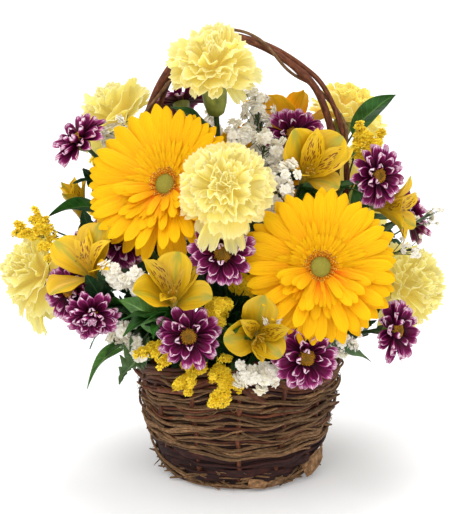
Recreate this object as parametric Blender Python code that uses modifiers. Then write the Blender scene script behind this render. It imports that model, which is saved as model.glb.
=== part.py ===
"""Flower basket arrangement.

A round basket woven from bark strips and thin vine, with an arched twig handle. A plastic
liner inside it holds a domed block of floral foam, and cut flowers, sprays and leaves
stand in the foam, each on its own stem, all the way round.

Metres, +Z up. The origin is the middle of the basket's flat foot, +Y is the back.
"""
import math
from collections import namedtuple

import bmesh
import bpy
from mathutils import Matrix, Quaternion, Vector

# ---------------------------------------------------------------------------
# Driving sizes
# ---------------------------------------------------------------------------
GAP = 0.0003                   # left between pieces that touch
MERGE = 0.00005                # merge distance of every modifier and weld

# Basket wall, from the foot up
FOOT_RADIUS = 0.0540           # where the bark strips meet the table
BAND_TOP = 0.0300              # bark strips end, thin vine starts
BAND_RADIUS = 0.0615
WEAVE_TOP = 0.0765
WEAVE_RADIUS = 0.0705
RIM_TOP = 0.0830               # at the two sides, under the handle
RIM_RADIUS = 0.0740
RIM_LIFT = 0.0150              # front and back of the rim stand this much higher
WALL = 0.0065
BASE_THICKNESS = 0.0050
WALL_STEPS = 40

# Handle: a thick and a thin twig laid side by side and a vine wound over them
THICK_TWIG_RADIUS = 0.0030
THIN_TWIG_RADIUS = 0.0020
VINE_RADIUS = 0.0011
LEG_FOOT_HEIGHT = 0.0340       # the legs are pushed this far down inside the wall
HANDLE_KNOTS = [               # (x, z) above the rim, from the right leg to the left
    (0.0670, 0.110), (0.0705, 0.150), (0.0710, 0.190), (0.0700, 0.222), (0.0665, 0.246),
    (0.0560, 0.272), (0.0430, 0.286), (0.0260, 0.298), (0.0080, 0.306), (-0.0100, 0.310),
    (-0.0270, 0.304), (-0.0410, 0.292), (-0.0520, 0.275), (-0.0600, 0.253),
    (-0.0660, 0.230), (-0.0700, 0.200), (-0.0710, 0.160), (-0.0670, 0.110)]
TWIST_TURNS = 1.0
SPREAD = 0.0024                # the twigs part this far between two heights
SPREAD_FROM = 0.1100
SPREAD_TO = 0.3040
VINE_TURNS = 5

# Liner and foam
LINER_WALL = 0.0012
LINER_FOOT_RADIUS = 0.0420
LINER_TOP = 0.0780
LINER_TOP_RADIUS = 0.0565
FOAM_SIDE_GAP = 0.0006
FOCUS = Vector((0.0, 0.0, 0.058))   # every stem points at this place in the foam
FOAM_RADIUS = 0.0502           # half width of the dome on the foam
FOAM_RISE = 0.0500             # height of the dome above the focus
STEM_DEPTH = 0.0200            # how far each stem is pushed into the foam
STRAIGHT_RUN = 0.0040          # straight stem above the foam before it bends

BLOOM_STEPS = 12

# ---------------------------------------------------------------------------
# Flowers: the turned outline of each kind, from the middle of its face round its
# edge to the top of its stem, as (radius, height along the facing direction)
# ---------------------------------------------------------------------------
Bloom = namedtuple("Bloom", "outline stem_radius material")
Place = namedtuple("Place", "kind middle facing lift")

BLOOMS = {
    "gerbera": Bloom(
        [(0.0, 0.0), (0.012, 0.0), (0.030, 0.0035), (0.0475, 0.0065), (0.0480, 0.0045),
         (0.030, -0.0025), (0.011, -0.0120), (0.0, -0.0170)],
        0.0028, "gerbera_gold"),
    "carnation": Bloom(
        [(0.0, 0.0150), (0.012, 0.0150), (0.024, 0.0100), (0.0305, 0.0), (0.027, -0.0090),
         (0.012, -0.0150), (0.0070, -0.0190), (0.0062, -0.0360), (0.0, -0.0400)],
        0.0020, "carnation_lemon"),
    "mum": Bloom(
        [(0.0, 0.0), (0.008, 0.0), (0.0225, 0.0050), (0.0230, 0.0030), (0.0120, -0.0040),
         (0.0045, -0.0100), (0.0, -0.0120)],
        0.0014, "mum_purple"),
    "alstroemeria": Bloom(
        [(0.0, 0.0), (0.0045, 0.0), (0.0220, 0.0140), (0.0225, 0.0120), (0.0100, 0.0),
         (0.0040, -0.0130), (0.0, -0.0160)],
        0.0013, "alstroemeria_yellow"),
}

FLOWERS = {
    # front
    "gerbera_left": Place("gerbera", (-0.052, -0.064, 0.221), (-0.42, -0.80, 0.42), 0.0),
    "gerbera_right": Place("gerbera", (0.053, -0.088, 0.170), (0.06, -0.94, 0.32), 0.0),
    "carnation_top": Place("carnation", (-0.018, -0.044, 0.301), (-0.08, -0.32, 0.94), 0.0),
    "carnation_centre": Place("carnation", (-0.006, -0.112, 0.228), (0.00, -0.90, 0.42), 0.0),
    "carnation_left": Place("carnation", (-0.146, -0.006, 0.144), (-0.85, -0.45, 0.30), 0.0),
    "carnation_right": Place("carnation", (0.128, -0.005, 0.131), (0.85, -0.45, 0.25), 0.0),
    "mum_centre": Place("mum", (-0.011, -0.100, 0.182), (0.0, -0.96, 0.28), 0.0),
    "mum_front_left": Place("mum", (-0.033, -0.102, 0.127), (-0.05, -0.98, 0.20), 0.0),
    "mum_front_right": Place("mum", (0.044, -0.097, 0.111), (0.20, -0.97, 0.05), 0.015),
    "mum_right_low": Place("mum", (0.106, -0.062, 0.119), (0.75, -0.62, 0.15), 0.0),
    "mum_right_high": Place("mum", (0.094, -0.032, 0.219), (0.55, -0.72, 0.42), 0.0),
    "mum_left": Place("mum", (-0.113, -0.060, 0.147), (-0.60, -0.75, 0.25), 0.0),
    "mum_left_low": Place("mum", (-0.095, -0.092, 0.139), (-0.25, -0.93, -0.25), 0.0),
    "mum_middle_left": Place("mum", (-0.079, -0.048, 0.181), (-0.35, -0.90, 0.20), 0.0),
    "mum_upper_left": Place("mum", (-0.109, -0.022, 0.242), (-0.85, -0.30, 0.42), 0.0),
    "mum_upper_right": Place("mum", (0.038, 0.002, 0.238), (0.15, -0.72, 0.66), 0.0),
    "alstroemeria_left": Place("alstroemeria", (-0.103, -0.080, 0.174), (-0.45, -0.75, 0.50), 0.0),
    "alstroemeria_centre": Place("alstroemeria", (-0.043, -0.108, 0.162), (-0.15, -0.80, 0.58), 0.0),
    "alstroemeria_low": Place("alstroemeria", (0.007, -0.112, 0.130), (0.05, -0.95, 0.30), 0.0),
    "alstroemeria_high": Place("alstroemeria", (0.053, -0.055, 0.234), (0.45, -0.75, 0.48), 0.0),
    # sides
    "carnation_upper_left": Place("carnation", (-0.095, 0.026, 0.257), (-0.55, -0.05, 0.83), 0.0),
    "carnation_upper_right": Place("carnation", (0.078, 0.058, 0.252), (0.45, 0.25, 0.86), 0.0),
    "mum_far_right": Place("mum", (0.124, 0.048, 0.172), (0.86, 0.36, 0.34), 0.0),
    "alstroemeria_right": Place("alstroemeria", (0.116, -0.024, 0.187), (0.92, -0.30, 0.25), 0.0),
    "alstroemeria_far_left": Place("alstroemeria", (-0.114, 0.016, 0.191), (-0.80, 0.15, 0.55), 0.0),
    # back
    "mum_back_top": Place("mum", (-0.041, 0.050, 0.256), (-0.20, 0.50, 0.85), 0.0),
    "alstroemeria_back_top": Place("alstroemeria", (0.026, 0.044, 0.246), (0.10, 0.25, 0.95), 0.0),
    "gerbera_back": Place("gerbera", (0.017, 0.092, 0.188), (0.12, 0.90, 0.40), 0.0),
    "carnation_back_left": Place("carnation", (-0.064, 0.090, 0.200), (-0.45, 0.75, 0.48), 0.0),
    "carnation_back_right": Place("carnation", (0.092, 0.086, 0.190), (0.66, 0.66, 0.36), 0.0),
    "carnation_back_low": Place("carnation", (0.076, 0.100, 0.125), (0.55, 0.80, 0.20), 0.0),
    "mum_back_left": Place("mum", (-0.116, 0.056, 0.152), (-0.78, 0.55, 0.30), 0.0),
    "mum_back_low": Place("mum", (-0.022, 0.108, 0.132), (-0.10, 0.98, 0.15), 0.0),
    "mum_back_middle": Place("mum", (0.026, 0.104, 0.119), (0.15, 0.96, 0.20), 0.012),
    "alstroemeria_back_low": Place("alstroemeria", (-0.074, 0.088, 0.136), (-0.50, 0.82, 0.28), 0.0),
}

# ---------------------------------------------------------------------------
# Sprays: a stem that forks, and a floret cloud at the end of each branch
# ---------------------------------------------------------------------------
Cloud = namedtuple("Cloud", "radius length")
Spray = namedtuple("Spray", "kind fork facing tips")

CLOUDS = {
    "gypsophila": Cloud(0.0065, 0.0120),
    "solidago": Cloud(0.0042, 0.0260),
}
SPRAY_STEM_RADIUS = 0.0011
BRANCH_RADIUS = 0.0007

SPRAYS = {
    "gypsophila_top": Spray("gypsophila", (0.008, -0.014, 0.190), (0.10, -0.10, 0.98), [
        (0.014, -0.004, 0.262), (0.000, -0.036, 0.246), (0.031, -0.060, 0.222),
        (0.018, -0.026, 0.240), (0.016, 0.022, 0.246)]),
    "gypsophila_left": Spray("gypsophila", (-0.052, -0.056, 0.140), (-0.60, -0.70, 0.40), [
        (-0.084, -0.086, 0.166), (-0.066, -0.084, 0.160), (-0.078, -0.064, 0.116)]),
    "gypsophila_right": Spray("gypsophila", (0.070, -0.022, 0.150), (0.75, -0.40, 0.50), [
        (0.136, 0.014, 0.182), (0.076, -0.080, 0.124), (0.106, -0.044, 0.158)]),
    "gypsophila_front": Spray("gypsophila", (0.012, -0.070, 0.112), (0.0, -0.95, 0.30), [
        (0.018, -0.094, 0.098), (0.024, -0.096, 0.142), (0.004, -0.092, 0.098)]),
    "gypsophila_back": Spray("gypsophila", (-0.020, 0.066, 0.168), (-0.20, 0.70, 0.70), [
        (-0.020, 0.074, 0.236), (-0.038, 0.098, 0.172), (-0.034, 0.090, 0.150)]),
    "solidago_left": Spray("solidago", (-0.090, -0.022, 0.164), (-0.85, -0.10, 0.50), [
        (-0.152, -0.020, 0.190), (-0.142, -0.036, 0.198), (-0.130, -0.046, 0.182)]),
    "solidago_upper_right": Spray("solidago", (0.074, 0.010, 0.194), (0.40, -0.10, 0.90), [
        (0.103, -0.004, 0.246), (0.090, 0.003, 0.250)]),
    "solidago_front": Spray("solidago", (-0.018, -0.074, 0.116), (-0.20, -0.90, 0.25), [
        (-0.010, -0.092, 0.082), (-0.036, -0.086, 0.090), (-0.060, -0.086, 0.110),
        (-0.014, -0.100, 0.148)]),
    "solidago_back": Spray("solidago", (-0.032, 0.066, 0.150), (-0.40, 0.75, 0.50), [
        (-0.102, 0.076, 0.170), (-0.102, 0.060, 0.214), (-0.052, 0.112, 0.152)]),
}

# ---------------------------------------------------------------------------
# Leaves: base and tip of the blade, the top of its arch, its half width, and how many
# degrees it rolls from lying flat
# ---------------------------------------------------------------------------
Leaf = namedtuple("Leaf", "base arch tip half_width roll")

LEAVES = {
    "leaf_upper_right": Leaf((0.080, 0.022, 0.237), (0.092, 0.021, 0.257),
                             (0.109, 0.016, 0.266), 0.0075, -60),
    "leaf_far_left": Leaf((-0.092, -0.022, 0.196), (-0.108, -0.022, 0.206),
                          (-0.126, -0.026, 0.201), 0.0080, 40),
    "leaf_broad_left": Leaf((-0.044, -0.080, 0.124), (-0.058, -0.086, 0.144),
                            (-0.077, -0.080, 0.149), 0.0090, 50),
    "leaf_curled": Leaf((-0.072, -0.055, 0.106), (-0.093, -0.064, 0.109),
                        (-0.102, -0.072, 0.081), 0.0045, 25),
    "leaf_veined": Leaf((0.080, -0.011, 0.184), (0.090, -0.005, 0.204),
                        (0.098, -0.003, 0.220), 0.0095, -80),
    "leaf_serrated_left": Leaf((-0.058, -0.060, 0.102), (-0.074, -0.072, 0.104),
                               (-0.080, -0.078, 0.086), 0.0080, 30),
    "leaf_serrated_right": Leaf((0.060, -0.060, 0.104), (0.074, -0.072, 0.110),
                                (0.088, -0.078, 0.102), 0.0120, -30),
}
LEAF_STALK_RADIUS = 0.0010
LEAF_THICKNESS = 0.0008
LEAF_FOLD = 0.25               # how far the two halves lift from the midrib

COLOURS = {
    # name: (colour, roughness)
    "bark_dark": ((0.075, 0.030, 0.015), 0.80),
    "vine_brown": ((0.190, 0.110, 0.055), 0.75),
    "twig_brown": ((0.130, 0.050, 0.022), 0.65),
    "liner_green": ((0.030, 0.070, 0.035), 0.45),
    "foam_green": ((0.035, 0.120, 0.045), 0.95),
    "gerbera_gold": ((1.000, 0.560, 0.010), 0.55),
    "carnation_lemon": ((0.950, 0.860, 0.300), 0.65),
    "mum_purple": ((0.200, 0.012, 0.090), 0.55),
    "alstroemeria_yellow": ((0.850, 0.600, 0.020), 0.50),
    "florets_white": ((0.850, 0.850, 0.820), 0.70),
    "florets_ochre": ((0.550, 0.360, 0.020), 0.80),
    "leaf_green": ((0.025, 0.090, 0.020), 0.50),
}

UP = Vector((0.0, 0.0, 1.0))


# ---------------------------------------------------------------------------
# Helpers
# ---------------------------------------------------------------------------
def clear_scene():
    for obj in list(bpy.data.objects):
        bpy.data.objects.remove(obj, do_unlink=True)


def make_collection(name):
    collection = bpy.data.collections.new(name)
    bpy.context.scene.collection.children.link(collection)
    return collection


def make_material(name):
    colour, roughness = COLOURS[name]
    material = bpy.data.materials.new(name)
    material.use_nodes = True
    shader = material.node_tree.nodes["Principled BSDF"]
    shader.inputs["Base Color"].default_value = (*colour, 1.0)
    shader.inputs["Roughness"].default_value = roughness
    shader.inputs["Metallic"].default_value = 0.0
    return material


def add_object(name, mesh, material, collection):
    obj = bpy.data.objects.new(name, mesh)
    collection.objects.link(obj)
    if material is not None:
        mesh.materials.append(material)
    mesh.shade_smooth()
    return obj


def facing_matrix(place, direction):
    """Stand a turned shape at a place with its own +Z along a direction."""
    turn = Vector(direction).normalized().to_track_quat("Z", "Y").to_matrix().to_4x4()
    return Matrix.Translation(Vector(place)) @ turn


def turned_mesh(name, outline, steps, closed=False):
    """Turn an outline of (radius, height) points about Z; it runs from top to bottom."""
    edges = [(i, i + 1) for i in range(len(outline) - 1)]
    if closed:
        edges.append((len(outline) - 1, 0))
    profile = bpy.data.meshes.new(name + "_outline")
    profile.from_pydata([(radius, 0.0, height) for radius, height in outline], edges, [])
    turned = bpy.data.objects.new(name + "_turning", profile)
    bpy.context.scene.collection.objects.link(turned)
    screw = turned.modifiers.new("turn", "SCREW")
    screw.steps = steps
    screw.render_steps = steps
    screw.use_merge_vertices = True
    screw.merge_threshold = MERGE
    return baked_mesh(name, turned)


def tube_mesh(name, points, radii, sides_level=1):
    """A round rod through the points, with a radius at each of them."""
    curve = bpy.data.curves.new(name + "_line", "CURVE")
    curve.dimensions = "3D"
    curve.bevel_depth = 1.0
    curve.bevel_resolution = sides_level
    curve.use_fill_caps = True
    spline = curve.splines.new("POLY")
    spline.points.add(len(points) - 1)
    for knot, place, radius in zip(spline.points, points, radii):
        knot.co = (*place, 1.0)
        knot.radius = radius
    rod = bpy.data.objects.new(name + "_rod", curve)
    bpy.context.scene.collection.objects.link(rod)
    return baked_mesh(name, rod)


def baked_mesh(name, obj):
    """The evaluated mesh of a helper object, with its caps welded; the helper goes."""
    bpy.context.view_layer.update()
    evaluated = obj.evaluated_get(bpy.context.evaluated_depsgraph_get())
    mesh = bpy.data.meshes.new_from_object(evaluated)
    mesh.name = name
    mesh.materials.clear()
    source = obj.data
    bpy.data.objects.remove(obj, do_unlink=True)
    if isinstance(source, bpy.types.Curve):
        bpy.data.curves.remove(source)
    else:
        bpy.data.meshes.remove(source)
    shape = bmesh.new()
    shape.from_mesh(mesh)
    bmesh.ops.remove_doubles(shape, verts=shape.verts, dist=MERGE)
    shape.to_mesh(mesh)
    shape.free()
    return mesh


def joined_mesh(name, meshes):
    shape = bmesh.new()
    for mesh in meshes:
        shape.from_mesh(mesh)
        bpy.data.meshes.remove(mesh)
    joined = bpy.data.meshes.new(name)
    shape.to_mesh(joined)
    shape.free()
    return joined


def boolean_with(obj, tool_mesh, operation, tools, overlapping=False):
    """Join or cut an object with a hidden tool, by an exact Boolean."""
    tool = add_object(obj.name + "_tool", tool_mesh, None, tools)
    tool.hide_render = True
    tool.display_type = "WIRE"
    step = obj.modifiers.new(operation.lower(), "BOOLEAN")
    step.operation = operation
    step.object = tool
    step.solver = "EXACT"
    step.use_self = overlapping


# ---------------------------------------------------------------------------
# Basket
# ---------------------------------------------------------------------------
def rim_lift(x, y, z):
    """The wall rises from level at the bark band to a high front and back at the rim."""
    angle = math.atan2(y, x)
    reach = min(1.0, max(0.0, (z - BAND_TOP) / (RIM_TOP - BAND_TOP)))
    return RIM_LIFT * math.sin(angle) ** 2 * reach * reach


def lifted(mesh):
    for vertex in mesh.vertices:
        vertex.co.z += rim_lift(*vertex.co)
    return mesh


def make_basket(collection, materials):
    base = turned_mesh("basket_base", [
        (0.0, BASE_THICKNESS), (FOOT_RADIUS - WALL - 0.0015, BASE_THICKNESS),
        (FOOT_RADIUS - WALL - 0.0015, 0.0), (0.0, 0.0)], WALL_STEPS)
    add_object("basket_base", base, materials["bark_dark"], collection)

    belly = 0.5 * (FOOT_RADIUS + BAND_RADIUS) + 0.0020
    band = turned_mesh("basket_lower_band", [
        (BAND_RADIUS - WALL, BAND_TOP), (BAND_RADIUS, BAND_TOP), (belly, 0.5 * BAND_TOP),
        (FOOT_RADIUS, 0.0), (FOOT_RADIUS - WALL, 0.0), (belly - WALL, 0.5 * BAND_TOP)],
        WALL_STEPS, closed=True)
    add_object("basket_lower_band", band, materials["bark_dark"], collection)

    middle = 0.5 * (BAND_TOP + WEAVE_TOP)
    middle_radius = 0.5 * (BAND_RADIUS + WEAVE_RADIUS) + 0.0008
    weave = turned_mesh("basket_weave", [
        (WEAVE_RADIUS - WALL, WEAVE_TOP), (WEAVE_RADIUS, WEAVE_TOP), (middle_radius, middle),
        (BAND_RADIUS, BAND_TOP + GAP), (BAND_RADIUS - WALL, BAND_TOP + GAP),
        (middle_radius - WALL, middle)], WALL_STEPS, closed=True)
    add_object("basket_weave", lifted(weave), materials["vine_brown"], collection)

    rim_inner = WEAVE_RADIUS - WALL
    rim = turned_mesh("basket_rim", [
        (rim_inner + 0.0010, RIM_TOP), (RIM_RADIUS - 0.0020, RIM_TOP),
        (RIM_RADIUS, 0.5 * (RIM_TOP + WEAVE_TOP)), (RIM_RADIUS - 0.0015, WEAVE_TOP + GAP),
        (rim_inner, WEAVE_TOP + GAP)], WALL_STEPS, closed=True)
    add_object("basket_rim", lifted(rim), materials["twig_brown"], collection)


def wall_inner_radius(z):
    share = (z - BAND_TOP) / (WEAVE_TOP - BAND_TOP)
    return BAND_RADIUS - WALL + share * (WEAVE_RADIUS - BAND_RADIUS)


def handle_centre_line(count):
    """The middle of the handle in its XZ plane, from the right foot to the left foot."""
    tuck = THICK_TWIG_RADIUS + 0.0003
    foot = (wall_inner_radius(LEG_FOOT_HEIGHT) - tuck, LEG_FOOT_HEIGHT)
    mouth = (wall_inner_radius(WEAVE_TOP) - tuck, RIM_TOP)
    knots = [foot, mouth] + HANDLE_KNOTS + [(-mouth[0], mouth[1]), (-foot[0], foot[1])]
    return even_points(smooth_points([Vector((x, 0.0, z)) for x, z in knots]), count)


def smooth_points(knots, steps=6):
    """A smooth curve through the knots."""
    points = []
    last = len(knots) - 1
    for i in range(last):
        a, b, c, d = (knots[min(max(k, 0), last)] for k in (i - 1, i, i + 1, i + 2))
        for step in range(steps):
            t = step / steps
            points.append(0.5 * (2 * b + (c - a) * t + (2 * a - 5 * b + 4 * c - d) * t * t
                                 + (3 * b - a - 3 * c + d) * t ** 3))
    return points + [knots[-1]]


def even_points(points, count):
    """The same path with evenly spaced points."""
    lengths = [0.0]
    for a, b in zip(points, points[1:]):
        lengths.append(lengths[-1] + (b - a).length)
    even = []
    span = 0
    for i in range(count):
        goal = lengths[-1] * i / (count - 1)
        while span < len(points) - 2 and lengths[span + 1] < goal:
            span += 1
        share = (goal - lengths[span]) / (lengths[span + 1] - lengths[span])
        even.append(points[span].lerp(points[span + 1], share))
    return even


def twig_spread(height):
    """How far the two twigs part: not at all in the wall and at the top of the arch."""
    climb = min(1.0, max(0.0, (height - SPREAD_FROM) / (SPREAD_TO - SPREAD_FROM)))
    return SPREAD * math.sin(math.pi * climb) ** 2


def wound_round(points, radius, phase, turns, free_share=0.0):
    """Offset a path in the XZ plane so that it winds round itself, apart from its ends."""
    wound = []
    last = len(points) - 1
    for i, point in enumerate(points):
        ahead = (points[min(i + 1, last)] - points[max(i - 1, 0)]).normalized()
        sideways = ahead.cross(Vector((0.0, 1.0, 0.0)))
        share = min(1.0, max(0.0, (i / last - free_share) / (1.0 - 2.0 * free_share)))
        angle = phase + 2.0 * math.pi * turns * share
        reach = radius + 0.5 * twig_spread(point.z)
        wound.append(point + reach * (math.cos(angle) * Vector((0.0, 1.0, 0.0))
                                      + math.sin(angle) * sideways))
    return wound


def make_handle(collection, materials):
    leg_share = 0.14
    path = handle_centre_line(40)
    for name, radius, offset, phase in (
            ("handle_twig_1", THICK_TWIG_RADIUS, THIN_TWIG_RADIUS + GAP, 0.0),
            ("handle_twig_2", THIN_TWIG_RADIUS, THICK_TWIG_RADIUS + GAP, math.pi)):
        points = wound_round(path, offset, phase, TWIST_TURNS, leg_share)
        twig = tube_mesh(name, points, [radius] * len(points))
        add_object(name, twig, materials["twig_brown"], collection)

    vine_offset = THICK_TWIG_RADIUS + THIN_TWIG_RADIUS + VINE_RADIUS + 3 * GAP
    above_rim = [p for p in handle_centre_line(84) if p.z > RIM_TOP + 0.018]
    points = wound_round(above_rim, vine_offset, 0.5 * math.pi, VINE_TURNS)
    vine = tube_mesh("handle_vine", points, [VINE_RADIUS] * len(points))
    add_object("handle_vine", vine, materials["vine_brown"], collection)


# ---------------------------------------------------------------------------
# Liner and foam
# ---------------------------------------------------------------------------
def make_liner(collection, materials):
    floor = BASE_THICKNESS + GAP
    liner = turned_mesh("liner", [
        (0.0, floor + LINER_WALL), (LINER_FOOT_RADIUS - LINER_WALL, floor + LINER_WALL),
        (LINER_TOP_RADIUS - LINER_WALL, LINER_TOP), (LINER_TOP_RADIUS, LINER_TOP),
        (LINER_FOOT_RADIUS, floor), (0.0, floor)], WALL_STEPS)
    add_object("liner", liner, materials["liner_green"], collection)


def foam_outline():
    """Top of the dome to the middle of the underside."""
    floor = BASE_THICKNESS + LINER_WALL + 2 * GAP
    dome = []
    for i in range(5):
        angle = 0.5 * math.pi * (1.0 - i / 5)
        dome.append((FOAM_RADIUS * math.cos(angle), FOCUS.z + FOAM_RISE * math.sin(angle)))
    dome[0] = (0.0, FOCUS.z + FOAM_RISE)
    foot = LINER_FOOT_RADIUS - LINER_WALL - FOAM_SIDE_GAP
    return dome + [(FOAM_RADIUS, FOCUS.z), (foot, floor), (0.0, floor)]


def stem_entry(neck, lift):
    """Direction of a stem inside the foam, and the distance from the focus to the skin."""
    direction = (neck - FOCUS + lift * UP).normalized()
    level = math.hypot(direction.x, direction.y)
    skin = 1.0 / math.sqrt((level / FOAM_RADIUS) ** 2 + (direction.z / FOAM_RISE) ** 2)
    return direction, skin


def stem_points(neck, facing, lift, bend_points=5):
    """A stem from its cut end in the foam to its neck, where it runs along the facing."""
    direction, skin = stem_entry(neck, lift)
    foot = FOCUS + direction * (skin - STEM_DEPTH)
    start = FOCUS + direction * (skin + STRAIGHT_RUN)
    reach = 0.30 * (neck - start).length
    first = start + direction * reach
    second = neck - Vector(facing).normalized() * reach
    points = [foot, start]
    for i in range(1, bend_points + 1):
        t = i / bend_points
        s = 1.0 - t
        points.append(start * s ** 3 + first * (3 * s * s * t)
                      + second * (3 * s * t * t) + neck * t ** 3)
    return points


def hole_mesh(name, neck, radius, lift):
    """The hole that one stem makes in the foam."""
    direction, skin = stem_entry(neck, lift)
    bottom = FOCUS + direction * (skin - STEM_DEPTH - GAP)
    top = FOCUS + direction * (skin + 0.010)
    return tube_mesh(name, [bottom, top], [radius + GAP] * 2)


def make_foam(holes, collection, tools, materials):
    foam = turned_mesh("foam", foam_outline(), WALL_STEPS)
    block = add_object("foam", foam, materials["foam_green"], collection)
    boolean_with(block, joined_mesh("foam_holes", holes), "DIFFERENCE", tools, True)


# ---------------------------------------------------------------------------
# Flowers
# ---------------------------------------------------------------------------
def make_flower(name, place, collection, tools, materials):
    """One flower: a turned bloom joined to its own stem. Returns the hole for the foam."""
    bloom = BLOOMS[place.kind]
    facing = Vector(place.facing).normalized()
    head = turned_mesh(name, bloom.outline, BLOOM_STEPS)
    head.transform(facing_matrix(place.middle, facing))
    flower = add_object(name, head, materials[bloom.material], collection)

    back = bloom.outline[-1][1]
    neck = Vector(place.middle) + facing * back
    points = stem_points(neck, facing, place.lift)
    points.append(neck + facing * 0.0035)
    stem = tube_mesh(name + "_stem", points, [bloom.stem_radius] * len(points))
    boolean_with(flower, stem, "UNION", tools)
    return hole_mesh(name + "_hole", neck, bloom.stem_radius, place.lift)


# ---------------------------------------------------------------------------
# Sprays and leaves
# ---------------------------------------------------------------------------
def branch_mesh(name, fork, tip, cloud):
    """A thin branch that swells into the cloud of florets it carries."""
    fork = Vector(fork)
    tip = Vector(tip)
    ahead = (tip - fork).normalized()
    start = tip - ahead * cloud.length
    points = [fork, fork.lerp(start, 0.6), start, tip - ahead * (0.45 * cloud.length), tip]
    radii = [BRANCH_RADIUS, BRANCH_RADIUS, 0.55 * cloud.radius, cloud.radius,
             0.45 * cloud.radius]
    return tube_mesh(name, points, radii)


def make_spray(name, spray, collection, tools, materials):
    fork = Vector(spray.fork)
    material = "florets_white" if spray.kind == "gypsophila" else "florets_ochre"
    points = stem_points(fork, spray.facing, 0.0)
    stem = tube_mesh(name, points, [SPRAY_STEM_RADIUS] * len(points))
    obj = add_object(name, stem, materials[material], collection)
    branches = []
    root = points[-2].lerp(points[-1], 0.6)
    for tip in spray.tips:
        branches.append(branch_mesh(name + "_branch", root, tip, CLOUDS[spray.kind]))
    boolean_with(obj, joined_mesh(name + "_branches", branches), "UNION", tools, True)
    return hole_mesh(name + "_hole", fork, SPRAY_STEM_RADIUS, 0.0)


def leaf_mesh(name, leaf, rows=6):
    """A folded blade along an arched midrib, widest a third of the way along."""
    base, arch, tip = (Vector(p) for p in (leaf.base, leaf.arch, leaf.tip))
    shape = bmesh.new()
    bmesh.ops.create_grid(shape, x_segments=2, y_segments=rows, size=1.0)
    for vertex in shape.verts:
        side = vertex.co.x
        t = 0.5 * (vertex.co.y + 1.0)
        spine = base * (1 - t) ** 2 + arch * (2 * t * (1 - t)) + tip * t * t
        ahead = ((arch - base) * (1 - t) + (tip - arch) * t).normalized()
        across = ahead.cross(UP)
        across = across.normalized() if across.length > 0.05 else Vector((1.0, 0.0, 0.0))
        across.rotate(Quaternion(ahead, math.radians(leaf.roll)))
        above = across.cross(ahead)
        half = leaf.half_width * max(0.12, math.sin(math.pi * t ** 0.75))
        vertex.co = spine + across * (side * half) + above * (abs(side) * half * LEAF_FOLD)
    mesh = bpy.data.meshes.new(name)
    shape.to_mesh(mesh)
    shape.free()
    return mesh


def make_leaf(name, leaf, collection, tools, materials):
    obj = add_object(name, leaf_mesh(name, leaf), materials["leaf_green"], collection)
    thick = obj.modifiers.new("thickness", "SOLIDIFY")
    thick.thickness = LEAF_THICKNESS
    thick.offset = 0.0
    base = Vector(leaf.base)
    facing = (Vector(leaf.arch) - base).normalized()
    points = stem_points(base, facing, 0.0)
    points.append(base + facing * 0.0040)
    stalk = tube_mesh(name + "_stalk", points, [LEAF_STALK_RADIUS] * len(points))
    boolean_with(obj, stalk, "UNION", tools)
    return hole_mesh(name + "_hole", base, LEAF_STALK_RADIUS, 0.0)


def main():
    clear_scene()
    collection = make_collection("flower_basket_arrangement")
    tools = make_collection("cutters_and_joiners")
    materials = {name: make_material(name) for name in COLOURS}
    make_basket(collection, materials)
    make_handle(collection, materials)
    make_liner(collection, materials)
    holes = []
    for name, place in FLOWERS.items():
        holes.append(make_flower(name, place, collection, tools, materials))
    for name, spray in SPRAYS.items():
        holes.append(make_spray(name, spray, collection, tools, materials))
    for name, leaf in LEAVES.items():
        holes.append(make_leaf(name, leaf, collection, tools, materials))
    make_foam(holes, collection, tools, materials)


main()
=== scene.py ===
"""Looks of the flower basket arrangement.

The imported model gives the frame: where each bloom sits and which way it faces, where the
sprays end, how wide the basket is. Every node is replaced by a piece with real petals,
florets, leaves, vines and twigs, or keeps its shape and takes a finish of its own.
"""
import math
import random
from collections import namedtuple

import bpy
import numpy as np
from mathutils import Matrix, Vector


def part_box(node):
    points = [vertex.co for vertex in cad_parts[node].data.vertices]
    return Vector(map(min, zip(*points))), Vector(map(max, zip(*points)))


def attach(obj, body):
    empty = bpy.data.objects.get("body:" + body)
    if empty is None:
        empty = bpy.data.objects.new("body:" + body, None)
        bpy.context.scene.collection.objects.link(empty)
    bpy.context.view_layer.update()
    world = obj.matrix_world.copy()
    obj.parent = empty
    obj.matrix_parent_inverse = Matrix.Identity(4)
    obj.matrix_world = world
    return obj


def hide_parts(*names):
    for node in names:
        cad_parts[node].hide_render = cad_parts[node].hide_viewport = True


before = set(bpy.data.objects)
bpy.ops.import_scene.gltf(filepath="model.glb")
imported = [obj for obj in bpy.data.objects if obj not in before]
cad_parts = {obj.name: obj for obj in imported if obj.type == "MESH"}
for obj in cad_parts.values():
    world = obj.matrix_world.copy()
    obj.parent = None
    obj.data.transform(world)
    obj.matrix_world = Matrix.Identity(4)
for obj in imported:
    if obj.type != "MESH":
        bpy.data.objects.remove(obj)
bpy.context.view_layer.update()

MM = 0.001
UP = Vector((0.0, 0.0, 1.0))
FULL_TURN = 2.0 * math.pi
GOLDEN_ANGLE = 2.39996                 # the spiral step of a flower's eye

# ---- Driving sizes, metres ----
FOCUS = Vector((0.0, 0.0, 0.058))      # every stem points at this place in the foam
STEM_DEPTH = 0.024                     # from the stem's foot to where it starts to bend
GERBERA_STEM = 0.0028
CARNATION_STEM = 0.0020
MUM_STEM = 0.0014
ALSTROEMERIA_STEM = 0.0013
SPRAY_STEM = 0.0011
BUNCH_MIDDLE = Vector((0.0, 0.0, 0.150))
BUNCH_RADIUS = 0.125
LOWEST_LEAF = 0.085                    # a leaf that would end lower is turned up
LEAF_TRIES = 30                        # aims tried until a leaf hides no bloom

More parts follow.
